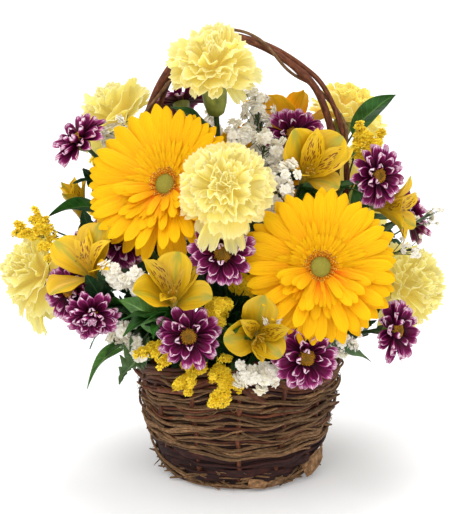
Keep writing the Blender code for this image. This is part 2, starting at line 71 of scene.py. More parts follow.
BAND_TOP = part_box("basket_lower_band")[1].z
BAND_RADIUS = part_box("basket_lower_band")[1].x
WEAVE_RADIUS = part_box("basket_weave")[1].x
RIM_LIFT = 0.0150                      # front and back of the rim stand this much higher
RIM_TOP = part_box("basket_rim")[1].z - RIM_LIFT
WEAVE_TOP = RIM_TOP - 0.0065
STAKES = 13
STAKE_START = -0.5 * math.pi           # one stake stands in the middle of the front
STAKE_RADIUS = 0.0018
VINE_RADIUS = 0.00115
WALL = (                               # height and outer radius, from the table to the rim
    (0.0, 0.0490), (0.0040, 0.0535), (0.0090, 0.0565), (0.0160, 0.0598), (0.0250, 0.0625),
    (0.0340, 0.0648), (0.0440, 0.0674), (0.0560, 0.0694), (0.0700, 0.0712), (0.0830, 0.0735))
THICK_TWIG = 0.0030
THIN_TWIG = 0.0020
TWIG_GAP = 0.0003
HANDLE_VINE = 0.0011
LEG_FOOT_HEIGHT = 0.0340
HANDLE_KNOTS = [                       # (x, z) above the rim, from the right leg to the left
    (0.0670, 0.110), (0.0705, 0.150), (0.0710, 0.190), (0.0700, 0.222), (0.0665, 0.246),
    (0.0560, 0.272), (0.0430, 0.286), (0.0260, 0.298), (0.0080, 0.306), (-0.0100, 0.310),
    (-0.0270, 0.304), (-0.0410, 0.292), (-0.0520, 0.275), (-0.0600, 0.253),
    (-0.0660, 0.230), (-0.0700, 0.200), (-0.0710, 0.160), (-0.0670, 0.110)]
SPREAD = 0.0024                        # the twigs part this far between two heights
SPREAD_FROM = 0.1100
SPREAD_TO = 0.3040

Leaf = namedtuple("Leaf", "base arch tip half_width roll kind")
LEAVES = {
    "leaf_upper_right": Leaf((0.080, 0.022, 0.237), (0.092, 0.021, 0.257),
                             (0.109, 0.016, 0.266), 0.0075, -60, "lance"),
    "leaf_far_left": Leaf((-0.092, -0.022, 0.191), (-0.112, -0.022, 0.201),
                          (-0.130, -0.026, 0.189), 0.0068, 45, "lance"),
    "leaf_broad_left": Leaf((-0.044, -0.084, 0.122), (-0.058, -0.090, 0.142),
                            (-0.079, -0.086, 0.147), 0.0098, 82, "fresh"),
    "leaf_curled": Leaf((-0.072, -0.055, 0.106), (-0.093, -0.064, 0.109),
                        (-0.102, -0.072, 0.081), 0.0052, 65, "fresh"),
    "leaf_veined": Leaf((0.080, -0.011, 0.184), (0.090, -0.005, 0.204),
                        (0.098, -0.003, 0.220), 0.0095, -80, "lance"),
    "leaf_serrated_left": Leaf((-0.058, -0.060, 0.102), (-0.074, -0.072, 0.104),
                               (-0.080, -0.078, 0.086), 0.0125, 75, "fern"),
    "leaf_serrated_right": Leaf((0.060, -0.060, 0.104), (0.074, -0.072, 0.110),
                                (0.088, -0.078, 0.102), 0.0120, -30, "fern"),
}


# ---- Materials ----
def colour(red, green, blue):
    """A colour given in the usual 0 to 255 steps, as the shader wants it."""
    shares = (step / 255.0 for step in (red, green, blue))
    return tuple(share / 12.92 if share <= 0.04045 else ((share + 0.055) / 1.055) ** 2.4
                 for share in shares) + (1.0,)


class Finish:
    """A Principled material and short ways to wire its nodes.

    Colours are triples of 0 to 255 steps, or the shader's own four numbers.
    """

    def __init__(self, name, roughness, gleam=0.5):
        self.material = bpy.data.materials.new(name)
        self.material.use_nodes = True
        self.tree = self.material.node_tree
        self.shader = self.tree.nodes["Principled BSDF"]
        self.feed(self.shader, {"Roughness": roughness, "Specular IOR Level": gleam})

    def feed(self, node, inputs):
        """Link or set inputs of a node: to outputs of other nodes, or to plain values."""
        for name, value in inputs.items():
            if isinstance(value, bpy.types.NodeSocket):
                self.tree.links.new(value, node.inputs[name])
            else:
                node.inputs[name].default_value = value

    def node(self, kind, inputs, **settings):
        node = self.tree.nodes.new("ShaderNode" + kind)
        for name, value in settings.items():
            setattr(node, name, value)
        self.feed(node, inputs)
        return node

    def place(self, kind, scale=(1.0, 1.0, 1.0)):
        source = self.node("TexCoord", {}).outputs[kind]
        return self.node("Mapping", {"Vector": source, "Scale": scale}).outputs["Vector"]

    def direction(self, axis):
        """One of the two directions of the piece's own UV map."""
        source = self.node("TexCoord", {}).outputs["UV"]
        return self.node("SeparateXYZ", {0: source}).outputs[axis]

    def along(self):
        return self.direction("Y")

    def aside(self):
        """How far a place lies from the middle line of its petal or leaf, from 0 to 1."""
        return self.sum("ABSOLUTE", self.sum("MULTIPLY_ADD", self.direction("X"), 2.0, -1.0))

    def shade(self):
        """The lightness that each copy of a petal, leaf or vine carries: mostly a tone of its own,
        and in some places painted shade and painted light.
        """
        return self.node("Attribute", {}, attribute_name="shade").outputs["Fac"]

    def noise(self, scale, detail=3.0, roughness=0.5, place=None):
        """Noise of one grain through the whole piece, or over a place on its map."""
        return self.node("TexNoise", {"Vector": place or self.place("Object"), "Scale": scale,
                                      "Detail": detail, "Roughness": roughness}).outputs["Fac"]

    def streaks(self, across, along, detail=3.0, roughness=0.5):
        """Noise drawn out along the piece's own map."""
        return self.noise(1.0, detail, roughness, self.place("UV", (across, along, 1.0)))

    def cells(self, scale, place=None):
        return self.node("TexVoronoi", {"Vector": place or self.place("Object"),
                                        "Scale": scale}).outputs["Distance"]

    def sum(self, operation, *values):
        return self.node("Math", dict(enumerate(values)), operation=operation).outputs[0]

    def span(self, value, low, high, to_low=0.0, to_high=1.0):
        """Bring a stretch of values to another one, easing in and out."""
        return self.node("MapRange", {"Value": value, "From Min": low, "From Max": high,
                                      "To Min": to_low, "To Max": to_high},
                         interpolation_type="SMOOTHSTEP").outputs["Result"]

    def ramp(self, factor, *stops):
        node = self.node("ValToRGB", {"Fac": factor})
        elements = node.color_ramp.elements
        while len(elements) < len(stops):
            elements.new(0.5)
        for element, (place, tint) in zip(elements, stops):
            element.position = place
            element.color = tint if len(tint) == 4 else colour(*tint)
        return node.outputs["Color"]

    def mix(self, factor, first, second, blend="MIX"):
        if isinstance(second, tuple):
            second = colour(*second)
        return self.node("Mix", {"Factor": factor, 6: first, 7: second}, data_type="RGBA",
                         blend_type=blend).outputs[2]

    def lightened(self, tint, amount, low, high):
        """Multiply a colour by a grey that runs from low to high as the amount goes 0 to 1."""
        grey = self.ramp(amount, (0.0, (low, low, low, 1.0)), (1.0, (high, high, high, 1.0)))
        return self.mix(1.0, tint, grey, "MULTIPLY")

    def paint(self, tint, *shades):
        """Colour the piece, between two shades by the lightness that each copy carries."""
        if shades:
            tint = self.lightened(tint, self.shade(), *shades)
        self.feed(self.shader, {"Base Color": tint})

    def gloss(self, factor, low, high):
        self.feed(self.shader, {"Roughness": self.span(factor, 0.0, 1.0, low, high)})

    def bump(self, height, distance, strength):
        """Raise the height's peaks by a distance in millimetres."""
        node = self.node("Bump", {"Strength": strength, "Distance": distance * MM,
                                  "Height": height})
        self.feed(self.shader, {"Normal": node.outputs["Normal"]})

    def translucence_and_painted_glow(self, weight, radius, light=(1.0, 1.0, 1.0, 1.0), strength=0.0, depth=1.5):
        """Thin petals let some light through; depth is in millimetres. The emission is painted light
        that lifts their shade.
        """
        self.feed(self.shader, {
            "Subsurface Weight": weight, "Subsurface Radius": radius,
            "Subsurface Scale": depth * MM, "Emission Color": light,
            "Emission Strength": strength})


def gerbera_petal_finish(name, deep, base, lower):
    """Golden petals with fine lengthwise streaks; deep is how far the orange base reaches."""
    finish = Finish(name, 0.55, 0.12)
    tint = finish.ramp(finish.along(), (0.0, base), (0.4 * deep, lower), (deep, (249, 160, 2)),
                       (min(0.95, deep + 0.4), (252, 183, 3)), (1.0, (253, 195, 5)))
    broad, fine = finish.streaks(9.0, 1.1), finish.streaks(30.0, 1.0, 2.0)
    tint = finish.lightened(tint, finish.span(broad, 0.34, 0.66), 0.93, 1.04)
    tint = finish.lightened(tint, finish.span(fine, 0.34, 0.66), 0.90, 1.03)
    finish.paint(tint, 0.90, 1.03)
    finish.gloss(broad, 0.50, 0.64)
    finish.bump(finish.sum("MULTIPLY_ADD", broad, 1.2, fine), 0.5, 0.9)
    # painted light: a faint orange emission that warms the shaded creases
    finish.translucence_and_painted_glow(0.15, (1.0, 0.45, 0.08), (1.0, 0.40, 0.0, 1.0), 0.035)
    return finish


def carnation_petal_finish(name, warm):
    """Pale lemon petals, deeper toward the claw, partly their colour and partly painted shade of the
    folds, with fine radial pleats; they pass much light.
    """
    finish = Finish(name, 0.65, 0.1)
    tint = finish.ramp(
        finish.along(), (0.0, (244, 192, 56)), (0.45, (238, 206 - 0.6 * warm, 88 - warm)),
        (0.72, (234, 213 - 0.5 * warm, 116 - warm)), (0.92, (236, 220 - 0.4 * warm, 138 - warm)),
        (1.0, (240, 229, 160 - warm)))
    pleats = finish.streaks(24.0, 1.4)
    tint = finish.lightened(tint, finish.span(pleats, 0.34, 0.66), 0.95, 1.02)
    finish.paint(tint, 0.62, 0.91)
    finish.bump(pleats, 0.9, 0.9)
    # painted light: the warm emission lifts the shaded folds
    finish.translucence_and_painted_glow(0.85, (1.0, 0.85, 0.35), (1.0, 0.82, 0.21, 1.0), 0.19, 5.0)
    return finish


def mum_petal_finish():
    """Deep purple with white rims, wider on the inner petals, which carry a higher shade."""
    finish = Finish("mum_petal", 0.55, 0.2)
    along = finish.along()
    streaks = finish.streaks(15.0, 1.6)
    # near-black at each petal's foot: partly its deeper colour, partly painted shade among the
    # crowded petals
    purple = finish.ramp(along, (0.0, (34, 1, 14)), (0.35, (74, 3, 40)), (0.75, (118, 16, 76)),
                         (1.0, (158, 52, 118)))
    purple = finish.lightened(purple, streaks, 0.62, 1.38)
    outward = finish.sum("MULTIPLY", finish.aside(), finish.span(along, 0.25, 0.85, 0.55, 1.0))
    edge = finish.sum("MAXIMUM", outward, finish.span(along, 0.44, 0.93, 0.0, 1.04))
    edge = finish.sum("ADD", edge, finish.span(streaks, 0.25, 0.75, -0.12, 0.12))
    edge = finish.sum("MULTIPLY_ADD", finish.shade(), 0.12, edge)
    pink = finish.mix(finish.span(edge, 0.78, 1.06, 0.0, 0.8), purple, (184, 66, 142))
    finish.paint(finish.mix(finish.span(edge, 0.99, 1.16), pink, (240, 214, 226)))
    finish.gloss(streaks, 0.48, 0.64)
    finish.bump(streaks, 0.4, 0.8)
    finish.translucence_and_painted_glow(0.06, (0.8, 0.2, 0.4))
    return finish


def speckled_finish(name, roughness, stops, texture, scale, speckle, *shades):
    """The smallest parts: a colour that changes along each of them, under a speckle."""
    finish = Finish(name, roughness)
    finish.grain = texture(finish, scale)
    tint = finish.ramp(finish.along(), *stops)
    finish.paint(finish.lightened(tint, finish.grain, *speckle), *shades)
    return finish


def gerbera_eye_finish():
    finish = speckled_finish(
        "gerbera_eye", 0.7, [(0.0, (120, 108, 30)), (0.35, (158, 152, 48)), (1.0, (182, 172, 60))],
        Finish.cells, 1500.0, (1.12, 0.72), 0.82, 1.1)
    finish.bump(finish.grain, 0.4, 0.7)
    return finish


def mum_eye_finish():
    """Golden, and olive in the middle, where the buds carry a low shade."""
    finish = Finish("mum_eye", 0.75)
    tint = finish.ramp(finish.along(), (0.0, (150, 110, 10)), (0.5, (202, 140, 12)),
                       (1.0, (226, 160, 20)))
    tint = finish.mix(finish.span(finish.shade(), 0.30, 0.70, 0.75, 0.0), tint, (118, 98, 18))
    grain = finish.cells(1300.0)
    finish.paint(finish.lightened(tint, grain, 1.15, 0.6), 0.75, 1.15)
    finish.bump(grain, 0.4, 0.8)
    return finish


def tepal_finish(name, blotch, dashes, *tones):
    """Golden tepals: the broad ones carry a green blotch, the narrow ones dark dashes."""
    finish = Finish(name, 0.42, 0.4)
    along, side = finish.along(), finish.aside()
    tint = finish.ramp(along, *zip((0.0, 0.25, 0.60, 1.0), tones))
    streaks = finish.streaks(12.0, 1.2)
    tint = finish.lightened(tint, finish.span(streaks, 0.32, 0.68), 0.84, 1.08)
    if blotch:
        stripe = finish.sum("MULTIPLY", finish.span(side, 0.02, 0.26, 0.65, 0.0),
                            finish.span(along, 0.10, 0.5))
        tip = finish.sum("MULTIPLY", finish.span(side, 0.05, 0.55, 1.0, 0.0),
                         finish.span(along, 0.62, 0.94, 0.0, 0.85))
        tint = finish.mix(finish.sum("MAXIMUM", tip, stripe), tint, (152, 156, 48))
    if dashes:
        spots = finish.cells(1.0, finish.place("UV", (15.0, 7.0, 1.0)))
        inside = finish.sum("MULTIPLY", finish.span(side, 0.75, 0.95, 1.0, 0.0),
                            finish.span(along, 0.20, 0.32))
        inside = finish.sum("MULTIPLY", inside, finish.span(along, 0.84, 0.93, 1.0, 0.0))
        marks = finish.sum("MULTIPLY", finish.span(spots, 0.34, 0.46, 1.0, 0.0), inside)
        tint = finish.mix(marks, tint, (110, 34, 6))
    finish.paint(tint, 0.72, 1.06)
    finish.gloss(streaks, 0.34, 0.52)
    finish.bump(streaks, 0.4, 0.7)
    # painted light: a faint golden emission that lifts the tepals' shade
    finish.translucence_and_painted_glow(0.12, (1.0, 0.6, 0.1), (1.0, 0.60, 0.02, 1.0), 0.04)
    return finish


def floret_finish(name, dark, middle, light, grain):
    """Tiny flowers: three tones from each petal's foot to its tip, the dark foot partly their colour
    and partly painted shade in the floret's heart, a little different on each one.
    """
    finish = speckled_finish(name, 0.7, [(0.0, dark), (0.5, middle), (1.0, light)], Finish.noise,
                             grain, (0.85, 1.1), 0.86, 1.04)
    # painted light: a faint emission in the tip colour brightens florets in shade
    finish.translucence_and_painted_glow(0.3, (1.0, 0.9, 0.6), colour(*light), 0.06)
    return finish


def leaf_finish(name, dark, light, vein, veins):
    """Green in two tones, with a pale midrib and slanting ribs."""
    finish = Finish(name, 0.5, 0.28)
    side = finish.aside()
    patches = finish.noise(140.0, 4.0)
    slant = finish.sum("MULTIPLY_ADD", side, -0.16, finish.along())
    ribs = finish.sum("FRACT", finish.sum("MULTIPLY", slant, veins))
    ribs = finish.span(finish.sum("ABSOLUTE", finish.sum("SUBTRACT", ribs, 0.5)),
                       0.0, 0.11, 1.0, 0.0)
    lines = finish.sum("MAXIMUM", finish.span(side, 0.03, 0.10, 1.0, 0.0),
                       finish.sum("MULTIPLY", ribs, 0.35))
    tint = finish.ramp(patches, (0.3, dark), (0.75, light))
    tint = finish.mix(finish.sum("MULTIPLY", lines, 0.6), tint, vein)
    finish.paint(tint, 0.55, 1.25)
    finish.gloss(patches, 0.32, 0.55)
    finish.bump(lines, 0.3, 0.7)
    return finish


def stem_finish(name, low, high):
    finish = Finish(name, 0.5)
    fibres = finish.streaks(8.0, 90.0)
    finish.paint(finish.ramp(fibres, (0.3, low), (0.75, high)), 0.7, 1.15)
    finish.gloss(fibres, 0.42, 0.60)
    finish.bump(fibres, 0.2, 0.6)
    return finish


def bark_finish(name, dark, middle, light, lengthwise, depth, rough=0.78):
    """Dry bark: fibres along the strand, dark cracks and paler worn patches."""
    finish = Finish(name, rough, 0.25)
    fibres = finish.streaks(7.0, lengthwise, 5.0, 0.65)
    patches = finish.noise(95.0, 4.0, 0.6)
    tint = finish.ramp(fibres, (0.30, dark), (0.52, middle), (0.74, light))
    finish.paint(finish.lightened(tint, patches, 0.55, 1.45), 0.45, 1.35)
    finish.gloss(patches, rough - 0.12, rough + 0.12)
    finish.bump(finish.sum("MULTIPLY_ADD", patches, 0.5, fibres), depth, 0.9)
    return finish


def foam_finish():
    finish = Finish("foam_green", 0.95)
    pores = finish.cells(900.0)
    tint = finish.ramp(finish.noise(260.0, 4.0), (0.3, (22, 60, 32)), (0.75, (46, 96, 52)))
    finish.paint(finish.lightened(tint, pores, 0.6, 1.2))
    finish.bump(pores, 0.5, 0.8)
    return finish


def liner_finish():
    finish = Finish("liner_green", 0.45, 0.4)
    haze = finish.noise(60.0, 4.0)
    finish.paint(finish.ramp(haze, (0.3, (12, 18, 14)), (0.8, (22, 30, 24))))
    finish.gloss(haze, 0.36, 0.58)
    finish.bump(finish.noise(1400.0, 2.0), 0.1, 0.5)
    return finish


def floor_finish():
    finish = Finish("floor_white", 0.9, 0.1)
    finish.paint(finish.ramp(finish.noise(3.0), (0.0, (0.895, 0.90, 0.915, 1.0)),
                             (1.0, (0.915, 0.92, 0.935, 1.0))))
    finish.feed(finish.shader, {"Emission Color": (1.0, 1.0, 1.0, 1.0),
                                "Emission Strength": 0.16})
    return finish


# tones of a tepal from its claw to its tip
GOLD = (126, 108, 18), (188, 148, 12), (214, 170, 10), (232, 192, 20)
ORANGE = (190, 108, 6), (228, 146, 8), (244, 172, 12), (252, 194, 24)
MATERIALS = {
    "gerbera_petal": gerbera_petal_finish("gerbera_petal", 0.24, (232, 120, 4), (242, 142, 4)),
    "gerbera_inner": gerbera_petal_finish("gerbera_inner", 0.62, (206, 56, 0), (236, 104, 0)),
    "gerbera_eye": gerbera_eye_finish(),
    "gerbera_bristle": speckled_finish(
        "gerbera_bristle", 0.6, [(0.0, (242, 150, 8)), (0.58, (250, 180, 28)),
                                 (0.68, (168, 86, 18)), (0.78, (196, 110, 24)),
                                 (0.86, (251, 196, 56)), (1.0, (251, 208, 84))],
        Finish.noise, 900.0, (0.85, 1.1), 0.7, 1.1),
    "carnation_petal": carnation_petal_finish("carnation_petal", 0.0),
    "carnation_warm": carnation_petal_finish("carnation_warm", 60.0),
    "mum_petal": mum_petal_finish(),
    "mum_eye": mum_eye_finish(),
    "tepal_broad": tepal_finish("tepal_broad", True, False, *GOLD),
    "tepal_narrow": tepal_finish("tepal_narrow", False, True, *GOLD),
    "tepal_orange": tepal_finish("tepal_orange", False, False, *ORANGE),
    "stamen": speckled_finish(
        "stamen", 0.6, [(0.0, (226, 180, 40)), (0.85, (220, 172, 40)), (0.93, (150, 116, 26)),
                        (1.0, (168, 132, 36))], Finish.noise, 1200.0, (0.8, 1.1)),
    "gypsophila": floret_finish("gypsophila_floret", (202, 186, 134), (238, 229, 202),
                                (252, 248, 236), 700.0),
    "solidago": floret_finish("solidago_floret", (184, 134, 4), (242, 196, 12),
                              (255, 230, 44), 900.0),
    "calyx": stem_finish("calyx_green", (98, 114, 40), (178, 184, 86)),
    "stem": stem_finish("stem_green", (26, 48, 20), (66, 96, 38)),
    "leaf_lance": leaf_finish("leaf_lance", (16, 56, 12), (46, 104, 28), (104, 150, 70), 9.0),
    "leaf_fresh": leaf_finish("leaf_fresh", (48, 88, 30), (92, 142, 56), (150, 186, 110), 9.0),
    "leaf_lobed": leaf_finish("leaf_lobed", (14, 42, 20), (36, 76, 38), (78, 116, 68), 7.0),
    "leaf_fern": leaf_finish("leaf_fern", (46, 74, 38), (84, 112, 66), (116, 142, 94), 7.0),
    "vine": bark_finish("vine_bark", (58, 38, 24), (120, 88, 58), (172, 138, 98), 240.0, 0.6),
    "twig": bark_finish("twig_bark", (52, 24, 14), (106, 58, 36), (150, 94, 62), 150.0, 0.5, 0.68),
    "strip": bark_finish("strip_bark", (18, 8, 7), (48, 21, 17), (78, 38, 30), 120.0, 0.7, 0.70),
    "foam": foam_finish(),
    "liner": liner_finish(),
    "floor": floor_finish(),
}


# ---- Building blocks ----
Stock = namedtuple("Stock", "points corners sizes map")


def clear_selection():
    for obj in bpy.context.selected_objects:
        obj.select_set(False)


def stock_of(obj):
    """Take a modelled shape off the bench: its arrays, ready to be copied."""
    mesh = obj.data
    points = np.zeros(len(mesh.vertices) * 3)
    mesh.vertices.foreach_get("co", points)
    corners = np.zeros(len(mesh.loops), int)
    mesh.loops.foreach_get("vertex_index", corners)
    sizes = np.zeros(len(mesh.polygons), int)
    mesh.polygons.foreach_get("loop_total", sizes)
    uv = np.zeros(len(mesh.loops) * 2)
    mesh.uv_layers.active.uv.foreach_get("vector", uv)
    bpy.data.objects.remove(obj, do_unlink=True)
    return Stock(points.reshape(-1, 3), corners, sizes, uv.reshape(-1, 2))


def sheet(across, along, shape, thickness, crowd=1.0):
    """A grid shaped by a rule of (across, along) and given its thickness.

    Above one, crowd moves its rows toward the far end.
    """
    clear_selection()
    bpy.ops.mesh.primitive_grid_add(x_subdivisions=across, y_subdivisions=along, size=1.0,
                                    calc_uvs=True)
    obj = bpy.context.active_object
    for vertex in obj.data.vertices:
        rest = max(0.0, 0.5 - vertex.co.y)
        vertex.co = shape(vertex.co.x + 0.5, 1.0 - rest ** crowd)
    wall = obj.modifiers.new("thickness", "SOLIDIFY")
    wall.thickness = thickness
    wall.offset = 0.0
    bpy.ops.object.modifier_apply(modifier=wall.name)
    stock = stock_of(obj)
    stock.map[:, 1] = 1.0 - np.clip(1.0 - stock.map[:, 1], 0.0, 1.0) ** crowd
    return stock


def ball(segments, rings, shape):
    """A sphere shaped by a rule of its points."""
    clear_selection()
    bpy.ops.mesh.primitive_uv_sphere_add(segments=segments, ring_count=rings, radius=1.0,
                                         calc_uvs=True)
    obj = bpy.context.active_object
    for vertex in obj.data.vertices:
        vertex.co = shape(vertex.co)
    return stock_of(obj)


def strand(points, radii, sides=6, upright=None, tall=1.0):
    """A closed strand through the points. Its map runs once round and along in metres.

    With upright, the strand is a strip whose height stands along that direction.
    """
    line = np.array([tuple(p) for p in points], float)
    radii = np.broadcast_to(np.asarray(radii, float), (len(line),))
    ahead = np.gradient(line, axis=0)
    ahead /= np.linalg.norm(ahead, axis=1)[:, None]
    if upright is None:
        first = np.cross(ahead[0], (0.31, 0.52, 0.79))
        side = np.zeros_like(line)
        for i, direction in enumerate(ahead):
            first = first - np.dot(first, direction) * direction
            first /= np.linalg.norm(first)
            side[i] = first
    else:
        side = np.asarray(upright, float) - (ahead @ np.asarray(upright, float))[:, None] * ahead
        side /= np.linalg.norm(side, axis=1)[:, None]
    other = np.cross(ahead, side)
    angles = 2.0 * np.pi * np.arange(sides) / sides
    ring = (np.cos(angles)[None, :, None] * side[:, None, :] * tall
            + np.sin(angles)[None, :, None] * other[:, None, :])
    places = (line[:, None, :] + radii[:, None, None] * ring).reshape(-1, 3)
    travel = np.concatenate([[0.0], np.cumsum(np.linalg.norm(np.diff(line, axis=0), axis=1))])

    count = len(line)
    row = np.repeat(np.arange(count - 1), sides)
    turn = np.tile(np.arange(sides), count - 1)
    after = (turn + 1) % sides
    quads = np.stack([row * sides + turn, row * sides + after,
                      (row + 1) * sides + after, (row + 1) * sides + turn], 1)
    uv = np.stack([
        np.stack([turn / sides, travel[row]], 1), np.stack([(turn + 1) / sides, travel[row]], 1),
        np.stack([(turn + 1) / sides, travel[row + 1]], 1),
        np.stack([turn / sides, travel[row + 1]], 1)], 1)
    low_cap = np.arange(sides)[::-1]
    high_cap = (count - 1) * sides + np.arange(sides)
    corners = np.concatenate([quads.ravel(), low_cap, high_cap])
    sizes = np.concatenate([np.full(len(quads), 4), [sides, sides]])
    cap_map = np.stack([0.5 + 0.5 * np.cos(angles), 0.5 + 0.5 * np.sin(angles)], 1)
    low_map = cap_map * (1.0, 0.0) + (0.0, travel[0])
    high_map = cap_map * (1.0, 0.0) + (0.0, travel[-1])
    return Stock(places, corners, sizes, np.concatenate([uv.reshape(-1, 2), low_map, high_map]))


def gathered(placed):
    """Many placed copies, each (stock, matrix or None), as one stock."""
    points, corners = [], []
    base = 0
    for stock, matrix in placed:
        places = stock.points
        if matrix is not None:
            places = places @ np.array(matrix.to_3x3()).T + np.array(matrix.translation)
        points.append(places)
        corners.append(stock.corners + base)
        base += len(places)
    return Stock(np.concatenate(points), np.concatenate(corners),
                 np.concatenate([stock.sizes for stock, matrix in placed]),
                 np.concatenate([stock.map for stock, matrix in placed]))


def joined(node, ending, copies, angle=50.0):
    """One mesh from many copies, (stock, matrix or None, material, shade), for a CAD node."""
    whole = gathered([copy[:2] for copy in copies])
    whole.points[:, 2] = np.maximum(whole.points[:, 2], 0.0)      # nothing reaches below the table
    materials = list(dict.fromkeys(copy[2] for copy in copies))
    picked, shades = [], []
    for stock, _, material, shade in copies:
        picked.append(np.full(len(stock.sizes), materials.index(material)))
        shades.append(np.broadcast_to(np.asarray(shade, float), (len(stock.points),)))
    mesh = bpy.data.meshes.new(node + ending)
    mesh.vertices.add(len(whole.points))
    mesh.vertices.foreach_set("co", whole.points.ravel())
    mesh.loops.add(len(whole.corners))
    mesh.loops.foreach_set("vertex_index", whole.corners)
    mesh.polygons.add(len(whole.sizes))
    mesh.polygons.foreach_set("loop_start",
                              np.concatenate([[0], np.cumsum(whole.sizes)[:-1]]))
    mesh.polygons.foreach_set("material_index", np.concatenate(picked))
    mesh.update(calc_edges=True)
    mesh.uv_layers.new(name="UVMap").uv.foreach_set("vector", whole.map.ravel())
    mesh.attributes.new("shade", "FLOAT", "POINT").data.foreach_set(
        "value", np.concatenate(shades))
    for material in materials:
        mesh.materials.append(MATERIALS[material].material)
    obj = bpy.data.objects.new(node + ending, mesh)
    bpy.context.scene.collection.objects.link(obj)
    clear_selection()
    obj.select_set(True)
    bpy.context.view_layer.objects.active = obj
    bpy.ops.object.shade_smooth_by_angle(angle=math.radians(angle))
    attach(obj, "root")
    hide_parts(node)


def tube(copies, material, points, radii, sides, shade, **strip):
    """Add a strand that is already in its place."""
    copies.append((strand(points, radii, sides, **strip), None, material, shade))


def cup_round(copies, material, turn, heights, radii, sides, shade, size=1.0):
    """A round cup on a bloom's axis, from heights and radii in millimetres."""
    line = [turn @ Vector((0.0, 0.0, height * size * MM)) for height in heights]
    tube(copies, material, line, np.array(radii) * size * MM, sides, shade)


def clamped(value):
    return min(1.0, max(0.0, value))


def sway(draw, most):
    """A draw to either side of nothing."""
    return draw.uniform(-most, most)


def anywhere(draw):
    """A draw from all the way round a circle."""
    return draw.uniform(0.0, 6.3)


def rotation(axis, degrees):
    return Matrix.Rotation(math.radians(degrees), 4, axis)


def facing_matrix(place, direction):
    """Stand a shape at a place with its own +Z along a direction."""
    turn = Vector(direction).normalized().to_track_quat("Z", "Y").to_matrix().to_4x4()
    return Matrix.Translation(Vector(place)) @ turn


def in_ring(turn, angle, radius, height, lean, roll=0.0, size=1.0):
    """A petal's place: round the middle by an angle, out by a radius, leaning forward."""
    return (turn @ rotation("Z", angle) @ Matrix.Translation((0.0, radius * MM, height * MM))
            @ rotation("X", lean) @ rotation("Y", roll) @ Matrix.Scale(size, 4))


def ring_angles(draw, number, loose, start=0.0):
    """The angles of a ring of petals, each a little off its even place."""
    for i in range(number):
        yield start + 360.0 * (i + sway(draw, loose)) / number


def bent(x, along, height, length, bend):
    """Bend a sheet that lies along Y, by an angle in degrees over its whole length."""
    if abs(bend) < 0.5:
        return (x, along, height)
    radius = length / math.radians(bend)
    angle = along / radius
    return (x, (radius - height) * math.sin(angle), radius - (radius - height) * math.cos(angle))


def curled(length, bend, power):
    """The line of a petal that curls by an angle, the more toward its tip the higher the power."""
    steps = 30
    line = [(0.0, 0.0, 0.0)]
    for i in range(steps):
        turn = math.radians(bend) * ((i + 0.5) / steps) ** power
        y, z = line[-1][:2]
        line.append((y + length / steps * math.cos(turn), z + length / steps * math.sin(turn),
                     math.radians(bend) * ((i + 1) / steps) ** power))

    def at(x, along, height):
        place = max(0.0, along / length) * steps
        step = min(int(place), steps - 1)
        y, z, turn = (a + (b - a) * (place - step) for a, b in zip(line[step], line[step + 1]))
        return (x, y - height * math.sin(turn), z + height * math.cos(turn))
    return at


def smooth_points(knots, steps=6):
    """A smooth curve through the knots."""
    points = []
    last = len(knots) - 1
    for i in range(last):
        a, b, c, d = (knots[min(max(k, 0), last)] for k in (i - 1, i, i + 1, i + 2))
        for step in range(steps):
            t = step / steps
            points.append(0.5 * (2 * b + (c - a) * t + (2 * a - 5 * b + 4 * c - d) * t * t
                                 + (3 * b - a - 3 * c + d) * t ** 3))
    return points + [knots[-1]]


def even_points(points, count):
    """The same path with evenly spaced points."""
    line = np.array([tuple(p) for p in points])
    travel = np.concatenate([[0.0], np.cumsum(np.linalg.norm(np.diff(line, axis=0), axis=1))])
    goals = np.linspace(0.0, travel[-1], count)
    return [Vector(row) for row in
            np.stack([np.interp(goals, travel, line[:, axis]) for axis in range(3)], 1)]


def bezier(a, b, c, d, count):
    points = []
    for i in range(count):
        t = i / (count - 1)
        s = 1.0 - t
        points.append(s ** 3 * a + 3 * s * s * t * b + 3 * s * t * t * c + t ** 3 * d)
    return points


def wavering(draw, strength, waves=((2.3, 0.5), (5.1, 0.3), (9.7, 0.2))):
    """A gentle random waver: a few waves of set lengths, each starting anywhere."""
    starts = [draw.uniform(0.0, FULL_TURN) for _ in waves]
    return lambda t: strength * sum(
        size * np.sin(rate * t + start) for (rate, size), start in zip(waves, starts))


# ---- Where the blooms, stems and spray tips are ----
def flat_faces(node):
    """The flat faces of a CAD node: (number of triangles, area, centre, normal) of each."""
    flats = []
    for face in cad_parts[node].data.polygons:
        offset = face.center.dot(face.normal)
        for flat in flats:
            if flat[3].dot(face.normal) > 0.99999 and abs(flat[4] - offset) < 1e-5:
                flat[0] += 1
                flat[2] = (flat[2] * flat[1] + face.center * face.area) / (flat[1] + face.area)
                flat[1] += face.area
                break
        else:
            flats.append([1, face.area, face.center.copy(), face.normal.copy(), offset])
    return flats


# how far a bloom's petals stand off the middle of its solid, in millimetres
SHIFTS = {
    "carnation_centre": (-4.0, 0.0, 2.5), "carnation_left": (-2.0, 0.0, 2.0),
    "carnation_top": (0.0, 0.0, 2.5), "carnation_upper_right": (4.5, 0.0, 0.0),
    "carnation_upper_left": (5.0, 0.0, 0.0), "carnation_right": (-3.0, 0.0, 4.5),
    "alstroemeria_high": (-7.5, 0.0, -4.5), "alstroemeria_right": (-6.0, 0.0, 6.0),
    "alstroemeria_low": (5.0, 0.0, 1.0), "alstroemeria_back_top": (9.0, 0.0, 1.0),
    "mum_back_left": (5.0, 0.0, -5.0),
    "mum_left_low": (-1.0, 0.0, -1.0), "mum_upper_right": (0.0, 0.0, 2.0),
}
